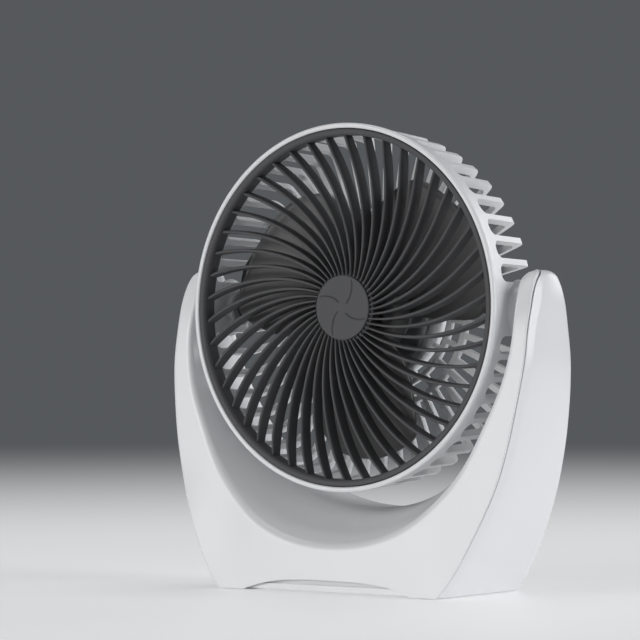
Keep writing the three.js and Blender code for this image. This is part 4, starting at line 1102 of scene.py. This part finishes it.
def build_impeller():
    """Grey impeller: broad petal blades with rounded edges on a deep hub."""
    h = head_settings()
    soup = Soup()
    hub_front = FRONT + 9.6
    hub = fillet([(1.8, hub_front, 0.3), (ROTOR_RADIUS, hub_front, 5.5), (ROTOR_RADIUS, 0.8, 0.3),
                  (ROTOR_RADIUS - 1.8, 0.8, 0.3), (ROTOR_RADIUS - 1.8, hub_front + 2.2, 4.0),
                  (4.6, hub_front + 2.2, 0.4), (4.6, hub_front + 9, 0.3), (1.8, hub_front + 9, 0.3)], 6)
    soup.add(*lathe(hub, 128))
    k = h.blade_radius / BLADE_DRAWN
    lead = softened([(18, 112), (30, 112), (38, 113), (50, 115), (56, 119), (60, 125.5), (62, 131),
                     (63.2, 137), (64, 148)], 18, 64, step=0.1, width=2, keep_from=60)
    trail = softened([(18, 205.5), (24, 204.5), (36, 200), (42, 196), (50, 190), (56, 186), (60, 183),
                      (62, 180.5), (63.2, 175), (64, 164)], 18, 64, step=0.1, width=2, keep_from=60)
    reach = softened([(18, 15), (40, 17), (52, 17), (60, 14.5), (64, 7)], 18, 64, step=0.1, width=4,
                     keep_from=61)
    middle = FRONT + 17.4
    radii = list(np.linspace(18.4, 56, 26))
    radii += [56 + 8 * math.sin(t * math.pi / 2) for t in np.linspace(0.08, 1, 14)]
    across = 40
    loops = []
    for i in range(across + 1):
        s = 0.5 - 0.5 * math.cos(math.pi * i / across)
        upper, lower = [], []
        for r in radii:
            a = (lead(r) + (trail(r) - lead(r)) * s) * DEG
            y = middle + (0.5 - s) * reach(r) + math.sin(s * math.pi) * 1.0
            chord = r * (trail(r) - lead(r)) * DEG
            from_edge = min(s, 1 - s) * chord
            edge = math.sqrt(max(0.0, 1 - (1 - min(1.0, from_edge / 1.6)) ** 2)) * 0.9 + 0.1
            tip = math.sqrt(max(0.0, 1 - (1 - min(1.0, (BLADE_DRAWN - r) / 0.8)) ** 2)) * 0.9 + 0.1
            half = 0.85 * min(edge, tip)
            rr = max(r * k, ROTOR_RADIUS - 1.2)
            upper.append((rr * math.cos(a), y + half, rr * math.sin(a)))
            lower.append((rr * math.cos(a), y - half, rr * math.sin(a)))
        loops.append(upper + lower[::-1])
    verts, faces = loft(loops, "strip")
    for i in range(h.blade_count):
        soup.turned(verts, faces, 2 * math.pi * i / h.blade_count)
    impeller = make_piece("impeller_blades", soup.verts, soup.faces, HEAD, smooth=45)
    settle(impeller, "rotor", "blade_grey", "impeller")


def build_motor():
    """Drawn motor can with its flange and a groove round it, its rear cover and its lead."""
    low, high = FRONT + 20.2, back_plane() - CUP_FLOOR - GAP
    waist = MOTOR_RADIUS - 0.35
    can = fillet([(3.6, low, 0.2), (6.2, low, 0), (6.2, low - 0.35, 0.2), (8.2, low - 0.35, 0.2),
                  (8.2, low, 0), (MOTOR_RADIUS, low, 1.6), (MOTOR_RADIUS, low + 4.2, 0),
                  (waist, low + 4.5, 0.1), (waist, low + 5.2, 0.1), (MOTOR_RADIUS, low + 5.5, 0),
                  (MOTOR_RADIUS, high - 1.6, 0.5), (MOTOR_FLANGE, high - 1.6, 0.4),
                  (MOTOR_FLANGE, high, 0.4), (3.6, high, 0.2)], 3)
    verts, faces = lathe(can, 120)
    motor = make_piece("motor_housing", verts, faces, HEAD, smooth=40)
    settle(motor, "head", "motor_steel", "motor_can")
    back = back_plane()
    floor_y = back - CUP_FLOOR
    r = CUP_RADIUS - CUP_WALL - GAP
    cover = fillet([(0.0, floor_y + 4.4, 0), (r, floor_y + 4.4, 0.3), (r, back + 2.5, 0.5),
                    (r - 1.6, back + 3.2, 0.9), (14.6, back + 3.55, 0.2), (14.2, back + 3.2, 0.15),
                    (13.4, back + 3.2, 0.15), (13.0, back + 3.6, 0.2), (0.0, back + 3.6, 0)], 4)
    verts, faces = lathe(cover, 160)
    cap = make_piece("rear_cover", verts, faces, HEAD, smooth=40)
    settle(cap, "head", "shell_white", "rear_cap")
    lead_y = back - BAR_DEPTH - 1.8
    inner_end = wall_radius(0) - FIN_DEPTH - 1.9
    verts, faces = tube_along([(inner_end - 7, 2.6, -5.2), (inner_end - 9, 4.6, -4), (57.5, lead_y, -1.6),
                               (46, lead_y, 0), (CUP_RADIUS + 3, lead_y, 0),
                               (MOTOR_FLANGE + GAP + 0.2, lead_y, 0)], 0.9)
    lead = make_piece("motor_wire", verts, faces, HEAD, smooth=60)
    settle(lead, "head", "lead_black", "motor_lead")


def build_pins():
    """Tilt pins with washers, keepers and the dark screws that hold them, on both sides."""
    for side, name in ((1, "right"), (-1, "left")):
        def turned(label, outline, slot, node, steps=3, segments=64):
            points = fillet(outline, steps)
            verts, faces = lathe([(r, side * x) for r, x in points], segments, axis="X",
                                 centre=(0, PIVOT.y, PIVOT.z))
            piece = make_piece(label + "_" + name, verts, faces, smooth=40)
            settle(piece, "base", slot, node)
            return piece

        x0, x1 = side_span(f"tilt_washer_{name}")
        turned("friction_washer", [(PIN_BORE, x0, 0.2), (9.0, x0, 0.3), (9.0, x1, 0.3),
                                   (PIN_BORE, x1, 0.2)], "washer_grey", f"tilt_washer_{name}")
        x0, x1 = side_span(f"tilt_pin_{name}")
        turned("hollow_pin", [(2.6, x0, 0.2), (6.0, x0, 0.5), (6.0, x1 - 1.3, 0.2), (8.6, x1 - 1.3, 0.3),
                              (8.6, x1, 0.4), (2.6, x1, 0.2)], "shell_white", f"tilt_pin_{name}")
        low, high = node_box(f"pin_keeper_{name}")
        x0, x1 = side_span(f"pin_keeper_{name}")
        radius = (high.z - low.z) / 2
        turned("keeper", [(2.4, x0, 0.15), (4.9, x0, 0.1), (5.1, x0 + 0.25, 0.1),
                          (radius - 0.5, x0 + 0.2, 0.2), (radius, x0 + 0.5, 0.2), (radius, x1, 0.2),
                          (2.4, x1, 0.15)], "washer_grey", f"pin_keeper_{name}")
        x0, x1 = side_span(f"pin_screw_{name}")
        screw = turned("holding_screw", [(0.0, x0, 0), (2.2, x0 + 0.05, 0), (4.4, x0 + 0.9, 0.9),
                                         (4.4, x0 + 2.2, 0.2), (2.1, x0 + 2.2, 0.1), (2.1, x1 - 0.8, 0.2),
                                         (1.2, x1, 0.2), (0.0, x1, 0)],
                       "black_steel", f"pin_screw_{name}")
        cross_recess(screw, Vector((side * x0, PIVOT.y, PIVOT.z)), Vector((side, 0, 0)), 2.3, 1.3)


def cross_recess(piece, at, inward, reach, depth):
    """Cuts a tapered cross into a screw head."""
    up = Vector((0, 0, 1)) if abs(inward.z) < 0.5 else Vector((1, 0, 0))
    side = inward.cross(up).normalized()
    for u, v in ((up, side), (side, up)):
        loops = []
        for t in (-0.4, 1.0):
            half, thick = reach * (1 - 0.35 * max(t, 0)), 0.42 * (1 - 0.3 * max(t, 0))
            base = at + inward * (depth * t)
            loops.append([base + u * half + v * thick, base + u * half - v * thick,
                          base - u * half - v * thick, base - u * half + v * thick])
        cut(piece, *loft(loops))


def build_front_shell():
    """Front half of the base: face, rounded lip, inside of the yoke and the pads for the pins."""
    b = base_settings()
    rows = swept_shell(front_path, arch_floor)
    verts, faces = thicken(rows, b.shell_wall, 1)
    shell = make_piece("front_shell", verts, faces, smooth=55)
    settle(shell, "base", "shell_white", "base_front_shell")
    washer = node_box("tilt_washer_right")[1].x
    wall = b.ring_radius + b.arm_gap - 0.7
    for side, name in ((1, "right"), (-1, "left")):
        outline = fillet([(PIN_BORE, washer + GAP, 0.3), (BOSS_RADIUS, washer + GAP, 0.6),
                          (9.6, wall - 0.7, 0.8), (11.6, wall + 0.35, 0.4), (11.4, wall + 0.9, 0),
                          (PIN_BORE, wall + 0.9, 0)], 4)
        v, f = lathe([(r, side * x) for r, x in outline], 72, axis="X", centre=(0, PIVOT.y, PIVOT.z))
        pad = make_piece("arm_pad_" + name, v, f, smooth=50)
        settle(pad, "base", "shell_white", "base_front_shell")


def build_rear_shell():
    """Rear half of the base: sides, back wall with its button seat, light and socket openings."""
    b = base_settings()
    rows = swept_shell(rear_path, lambda x: b.foot_height)
    verts, faces = thicken(rows, b.shell_wall, -1)
    shell = make_piece("rear_shell", verts, faces, smooth=55)
    z = node_middle("speed_button")[2]
    wall_y = PIVOT.y + REAR_FACE(z) - TABLE_PIVOT_Y
    for r, x in ((6.4 + GAP, 0.0), (1.7, node_middle("power_light")[0])):
        cut(shell, *lathe([(0, wall_y - 7), (r, wall_y - 7), (r, wall_y + 6), (0, wall_y + 6)], 64,
                          centre=(x, 0, z)))
    low, high = node_box("usb_socket")
    cx, _, cz = node_middle("usb_socket")
    outline = stadium(high.x - low.x + 2 * GAP, high.z - low.z + 2 * GAP)
    cut(shell, *loft([[(cx + u, y, cz + v) for u, v in outline] for y in (wall_y - 7, wall_y + 6)]))
    settle(shell, "base", "shell_white", "base_rear_shell")
    ring = fillet([(6.7, wall_y - 2.4, 0.2), (9.2, wall_y - 2.4, 0.2), (9.2, wall_y - 0.2, 0.2),
                   (8.6, wall_y + 0.35, 0.3), (7.2, wall_y + 0.35, 0.3), (6.7, wall_y - 0.1, 0.2)], 3)
    v, f = lathe(ring, 96, centre=(0, 0, z))
    collar = make_piece("button_collar", v, f, smooth=45)
    settle(collar, "base", "shell_white", "base_rear_shell")


def stadium(width, height, steps=14):
    """Outline with round ends, centred on the origin."""
    r = height / 2
    pts = []
    for sx, start in ((1, -90), (-1, 90)):
        for k in range(steps + 1):
            a = (start + k * 180 / steps) * DEG
            pts.append((sx * (width / 2 - r) + r * math.cos(a), r * math.sin(a)))
    return pts


def build_controls():
    """Speed button, its light and the power socket on the back wall."""
    low, high = node_box("speed_button")
    y0, y1 = low.y, high.y
    outline = fillet([(0.0, y0, 0), (7.7, y0, 0.2), (7.7, y0 + 1.4, 0.2), (6.4, y0 + 1.4, 0.2),
                      (6.4, y1 - 0.1, 0.7), (5.2, y1, 0.5), (2.5, y1 - 0.55, 2.0), (0.0, y1 - 0.7, 0)], 6)
    v, f = lathe(outline, 96, centre=(0, 0, node_middle("speed_button")[2]))
    button = make_piece("button_cap", v, f, smooth=45)
    settle(button, "button", "button_grey", "speed_button")
    low, high = node_box("power_light")
    cx, _, cz = node_middle("power_light")
    r = (high.z - low.z) / 2
    dome = fillet([(0, low.y, 0), (r, low.y, 0.2), (r, high.y - 0.3, 0.5), (0, high.y + 0.1, 0)], 5)
    v, f = lathe(dome, 40, centre=(cx, 0, cz))
    lens = make_piece("light_dome", v, f, smooth=60)
    settle(lens, "base", "light_lens", "power_light")
    low, high = node_box("usb_socket")
    cx, _, cz = node_middle("usb_socket")
    w, h = high.x - low.x, high.z - low.z
    outside, inside = stadium(w, h), stadium(w - 0.7, h - 0.7)
    rows = []
    for y, ring in ((low.y, outside), (high.y - 0.15, outside), (high.y, stadium(w - 0.25, h - 0.25)),
                    (high.y - 0.1, inside), (low.y + 3, inside)):
        rows.append([(cx + u, y, cz + q) for u, q in ring])
    socket = make_piece("socket_shell", *loft(rows), smooth=40)
    settle(socket, "base", "socket_steel", "usb_socket")


def build_feet():
    """Rubber feet with a ribbed tread and a plug that holds them in the cover."""
    for i in range(1, 5):
        low, high = node_box(f"foot_{i}")
        cx, cy, _ = node_middle(f"foot_{i}")
        r = (high.x - low.x) / 2
        outline = [(0.0, 0.0, 0)]
        for ring in (1.1, 2.2, 3.3):
            outline += [(ring - 0.15, 0.0, 0.05), (ring, 0.22, 0.05), (ring + 0.25, 0.22, 0.05),
                        (ring + 0.4, 0.0, 0.05)]
        outline += [(r - 0.4, 0.0, 0.3), (r, 0.5, 0.3), (r, 1.3, 0.2), (1.9, 1.3, 0.1),
                    (1.9, high.z - 0.3, 0.2), (1.5, high.z, 0.1), (0.0, high.z, 0)]
        v, f = lathe(fillet(outline, 2), 64, axis="Z", centre=(cx, cy, 0))
        foot = make_piece(f"rubber_foot_{i}", v, f, smooth=40)
        settle(foot, "base", "foot_rubber", f"foot_{i}")


def build_cover_screws():
    """Pan-head screws in the counterbores of the bottom cover."""
    for i in range(1, 5):
        low, high = node_box(f"cover_screw_{i}")
        cx, cy, _ = node_middle(f"cover_screw_{i}")
        z0 = low.z
        outline = [(0.0, z0, 0), (2.4, z0 + 0.05, 0.4), (3.0, z0 + 0.5, 0.3), (3.0, z0 + 1.0, 0.1),
                   (1.4, z0 + 1.0, 0.1)]
        for t in range(9):
            z = z0 + 1.6 + t * 1.0
            outline += [(1.25, z, 0), (1.45, z + 0.5, 0.05)]
        outline += [(1.0, high.z, 0.1), (0.0, high.z, 0)]
        v, f = lathe(fillet(outline, 2), 40, axis="Z", centre=(cx, cy, 0))
        screw = make_piece(f"pan_screw_{i}", v, f, smooth=40)
        cross_recess(screw, Vector((cx, cy, z0)), Vector((0, 0, 1)), 1.7, 0.75)
        settle(screw, "base", "screw_steel", f"cover_screw_{i}")


CARRIED = {
    "bottom_cover": ("shell_white", 0.3),
    "ballast_plate": ("ballast_steel", 0.5),
    "control_board": ("board_green", 0.1),
    "board_screw_1": ("screw_steel", 0.15),
    "board_screw_2": ("screw_steel", 0.15),
    "usb_tongue": ("black_plastic", 0.1),
    "switch_body": ("black_plastic", 0.3),
    "switch_stem": ("black_plastic", 0.2),
    "motor_bush_front": ("brass", 0.1),
    "motor_bush_rear": ("brass", 0.1),
    "motor_screw_1": ("screw_steel", 0.15),
    "motor_screw_2": ("screw_steel", 0.15),
    "motor_screw_3": ("screw_steel", 0.15),
    "motor_shaft": ("motor_steel", 0.1),
}


def dress_carried_nodes():
    """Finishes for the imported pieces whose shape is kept, with softened edges."""
    for name, (slot, width) in CARRIED.items():
        node = frame["nodes"][name]
        node.data.materials.clear()
        node.data.materials.append(material(slot))
        bevel(node, width, 2, 35)


# ------------------------------------------------------------------ stage
def floor_material():
    mat = bpy.data.materials.new("studio_floor")
    mat.use_nodes = True
    tree = mat.node_tree
    shader = tree.nodes["Principled BSDF"]
    colour = tuple(finish_settings().floor)
    tone = use_group(tree, drift_group(), Tone_A=rgba(colour), Tone_B=rgba(colour, 0.985), Scale=2.0)
    tree.links.new(tone.outputs["Color"], shader.inputs["Base Color"])
    shader.inputs["Roughness"].default_value = 0.6
    tree.links.new(tone.outputs["Color"], shader.inputs["Emission Color"])
    shader.inputs["Emission Strength"].default_value = FLOOR_GLOW
    # The floor fades out with distance so that it meets the backdrop without an edge.
    split = tree.nodes.new("ShaderNodeVectorMath")
    split.operation = "LENGTH"
    tree.links.new(object_coords(tree), split.inputs[0])
    fade = tree.nodes.new("ShaderNodeMapRange")
    fade.interpolation_type = "SMOOTHSTEP"
    fade.inputs["From Min"].default_value = 0.35
    fade.inputs["From Max"].default_value = 1.6
    fade.inputs["To Min"].default_value = 1.0
    fade.inputs["To Max"].default_value = 0.0
    tree.links.new(split.outputs["Value"], fade.inputs["Value"])
    tree.links.new(fade.outputs["Result"], shader.inputs["Alpha"])
    return mat


def add_light(name, place, aim, energy, width, height, colour=(1, 1, 1)):
    data = bpy.data.lights.new(name, "AREA")
    data.shape = "RECTANGLE"
    data.size, data.size_y = width, height
    data.energy = energy
    data.color = colour
    light = bpy.data.objects.new(name, data)
    light.location = place
    light.rotation_mode = "QUATERNION"
    light.rotation_quaternion = (Vector(aim) - Vector(place)).to_track_quat("-Z", "Y")
    bpy.context.scene.collection.objects.link(light)


FLOOR_GLOW = 0.30
FLOOR_RADIUS = 2200
VIEW_AZIMUTH = 36.06
VIEW_ELEVATION = 0.67
VIEW_DISTANCE = 1810.0
LENS = 241.875
AIM_RIGHT = 14.53
AIM_UP = 4.81


def build_stage():
    """Floor, soft lights, pale surroundings and the camera."""
    around = 96
    verts = [(0, 0, 0)] + [(FLOOR_RADIUS * math.cos(2 * math.pi * k / around),
                            FLOOR_RADIUS * math.sin(2 * math.pi * k / around), 0)
                           for k in range(around)]
    faces = [(0, 1 + k, 1 + (k + 1) % around) for k in range(around)]
    mesh = bpy.data.meshes.new("studio_floor")
    mesh.from_pydata([(x * MM, y * MM, z * MM) for x, y, z in verts], [], faces)
    floor = bpy.data.objects.new("studio_floor", mesh)
    floor.data.materials.append(floor_material())
    bpy.context.scene.collection.objects.link(floor)

    world = bpy.data.worlds.new("studio")
    bpy.context.scene.world = world
    world.use_nodes = True
    background = world.node_tree.nodes["Background"]
    background.inputs["Color"].default_value = (0.15, 0.16, 0.168, 1)
    background.inputs["Strength"].default_value = 0.62

    add_light("key", (-0.65, -1.6, 0.45), (0, 0, 0.10), 14.0, 1.2, 0.8, (1.0, 0.995, 0.985))
    add_light("side", (1.6, 0.35, 0.45), (0, 0, 0.1), 13.5, 1.0, 0.8, (0.985, 0.99, 1.0))
    add_light("back", (0.5, 1.9, 0.7), (0, 0, 0.1), 6.0, 1.2, 0.8)
    add_light("top", (-0.2, 0.1, 1.3), (0, 0, 0.1), 4.5, 1.0, 0.8)

    a, e = VIEW_AZIMUTH * DEG, VIEW_ELEVATION * DEG
    back = Vector((math.sin(a) * math.cos(e), -math.cos(a) * math.cos(e), math.sin(e)))
    right = Vector((math.cos(a), math.sin(a), 0))
    up = back.cross(right)
    target = Vector((0, PIVOT.y - TABLE_PIVOT_Y, PIVOT.z))
    place = target + back * VIEW_DISTANCE - right * AIM_RIGHT - up * AIM_UP
    data = bpy.data.cameras.new("view")
    data.lens = LENS
    data.sensor_width = 36
    data.clip_start, data.clip_end = 0.05, 50
    camera = bpy.data.objects.new("view", data)
    camera.location = place * MM
    camera.rotation_mode = "QUATERNION"
    camera.rotation_quaternion = (-back).to_track_quat("-Z", "Y")
    bpy.context.scene.collection.objects.link(camera)
    bpy.context.scene.camera = camera
    bpy.context.scene.view_settings.view_transform = "Standard"


# ------------------------------------------------------------------ operators
class FAN_OT_front_shell(bpy.types.Operator):
    """Adds the front half of the base"""
    bl_idname = "fan.front_shell"
    bl_label = "Front shell"
    bl_options = {"REGISTER", "UNDO"}

    def execute(self, context):
        build_front_shell()
        return {"FINISHED"}


class FAN_OT_rear_shell(bpy.types.Operator):
    """Adds the rear half of the base"""
    bl_idname = "fan.rear_shell"
    bl_label = "Rear shell"
    bl_options = {"REGISTER", "UNDO"}

    def execute(self, context):
        build_rear_shell()
        return {"FINISHED"}


class FAN_OT_controls(bpy.types.Operator):
    """Adds the button, its light and the socket"""
    bl_idname = "fan.controls"
    bl_label = "Controls"
    bl_options = {"REGISTER", "UNDO"}

    def execute(self, context):
        build_controls()
        return {"FINISHED"}


class FAN_OT_feet(bpy.types.Operator):
    """Adds the rubber feet"""
    bl_idname = "fan.feet"
    bl_label = "Feet"
    bl_options = {"REGISTER", "UNDO"}

    def execute(self, context):
        build_feet()
        return {"FINISHED"}


class FAN_OT_cover_screws(bpy.types.Operator):
    """Adds the screws of the bottom cover"""
    bl_idname = "fan.cover_screws"
    bl_label = "Cover screws"
    bl_options = {"REGISTER", "UNDO"}

    def execute(self, context):
        build_cover_screws()
        return {"FINISHED"}


class FAN_OT_pins(bpy.types.Operator):
    """Adds the tilt pins and what holds them"""
    bl_idname = "fan.pins"
    bl_label = "Tilt pins"
    bl_options = {"REGISTER", "UNDO"}

    def execute(self, context):
        build_pins()
        return {"FINISHED"}


class FAN_OT_basket(bpy.types.Operator):
    """Adds the slotted rear basket"""
    bl_idname = "fan.basket"
    bl_label = "Basket"
    bl_options = {"REGISTER", "UNDO"}

    def execute(self, context):
        build_basket()
        return {"FINISHED"}


class FAN_OT_bosses(bpy.types.Operator):
    """Adds the bosses on the basket"""
    bl_idname = "fan.bosses"
    bl_label = "Bosses"
    bl_options = {"REGISTER", "UNDO"}

    def execute(self, context):
        build_bosses()
        return {"FINISHED"}


class FAN_OT_grille(bpy.types.Operator):
    """Adds the swirled front grille"""
    bl_idname = "fan.grille"
    bl_label = "Grille"
    bl_options = {"REGISTER", "UNDO"}

    def execute(self, context):
        build_grille()
        return {"FINISHED"}


class FAN_OT_badge(bpy.types.Operator):
    """Adds the disc in the middle of the grille"""
    bl_idname = "fan.badge"
    bl_label = "Hub disc"
    bl_options = {"REGISTER", "UNDO"}

    def execute(self, context):
        build_badge()
        return {"FINISHED"}


class FAN_OT_impeller(bpy.types.Operator):
    """Adds the blades and their hub"""
    bl_idname = "fan.impeller"
    bl_label = "Impeller"
    bl_options = {"REGISTER", "UNDO"}

    def execute(self, context):
        build_impeller()
        return {"FINISHED"}


class FAN_OT_motor(bpy.types.Operator):
    """Adds the motor, its cover and its lead"""
    bl_idname = "fan.motor"
    bl_label = "Motor"
    bl_options = {"REGISTER", "UNDO"}

    def execute(self, context):
        build_motor()
        return {"FINISHED"}


class FAN_OT_carried(bpy.types.Operator):
    """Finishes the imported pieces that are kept"""
    bl_idname = "fan.carried"
    bl_label = "Inner pieces"
    bl_options = {"REGISTER", "UNDO"}

    def execute(self, context):
        dress_carried_nodes()
        return {"FINISHED"}


class FAN_OT_stage(bpy.types.Operator):
    """Adds the floor, the lights and the camera"""
    bl_idname = "fan.stage"
    bl_label = "Stage"
    bl_options = {"REGISTER", "UNDO"}

    def execute(self, context):
        build_stage()
        return {"FINISHED"}


OPERATORS = [
    FAN_OT_front_shell, FAN_OT_rear_shell, FAN_OT_controls, FAN_OT_feet, FAN_OT_cover_screws,
    FAN_OT_pins, FAN_OT_basket, FAN_OT_bosses, FAN_OT_grille, FAN_OT_badge, FAN_OT_impeller,
    FAN_OT_motor, FAN_OT_carried, FAN_OT_stage,
]


class FAN_PT_maker(bpy.types.Panel):
    """Sidebar panel that lists the fan's sizes, colours and pieces"""
    bl_idname = "FAN_PT_maker"
    bl_label = "Desk Fan"
    bl_space_type = "VIEW_3D"
    bl_region_type = "UI"
    bl_category = "Desk Fan"

    def draw(self, context):
        layout = self.layout
        for group in (context.scene.fan_base, context.scene.fan_head, context.scene.fan_finish):
            column = layout.box().column()
            for name in group.__annotations__:
                column.prop(group, name)
        column = layout.column(align=True)
        for item in OPERATORS:
            column.operator(item.bl_idname)


CLASSES = [FanBaseSettings, FanHeadSettings, FanFinishSettings, *OPERATORS, FAN_PT_maker]


def register():
    for item in CLASSES:
        bpy.utils.register_class(item)
    bpy.types.Scene.fan_base = PointerProperty(type=FanBaseSettings)
    bpy.types.Scene.fan_head = PointerProperty(type=FanHeadSettings)
    bpy.types.Scene.fan_finish = PointerProperty(type=FanFinishSettings)


def unregister():
    for name in ("fan_base", "fan_head", "fan_finish"):
        delattr(bpy.types.Scene, name)
    for item in reversed(CLASSES):
        bpy.utils.unregister_class(item)


def main():
    """Builds every piece."""
    register()
    for item in OPERATORS:
        group, name = item.bl_idname.split(".")
        getattr(getattr(bpy.ops, group), name)()


if __name__ == "__main__":
    main()
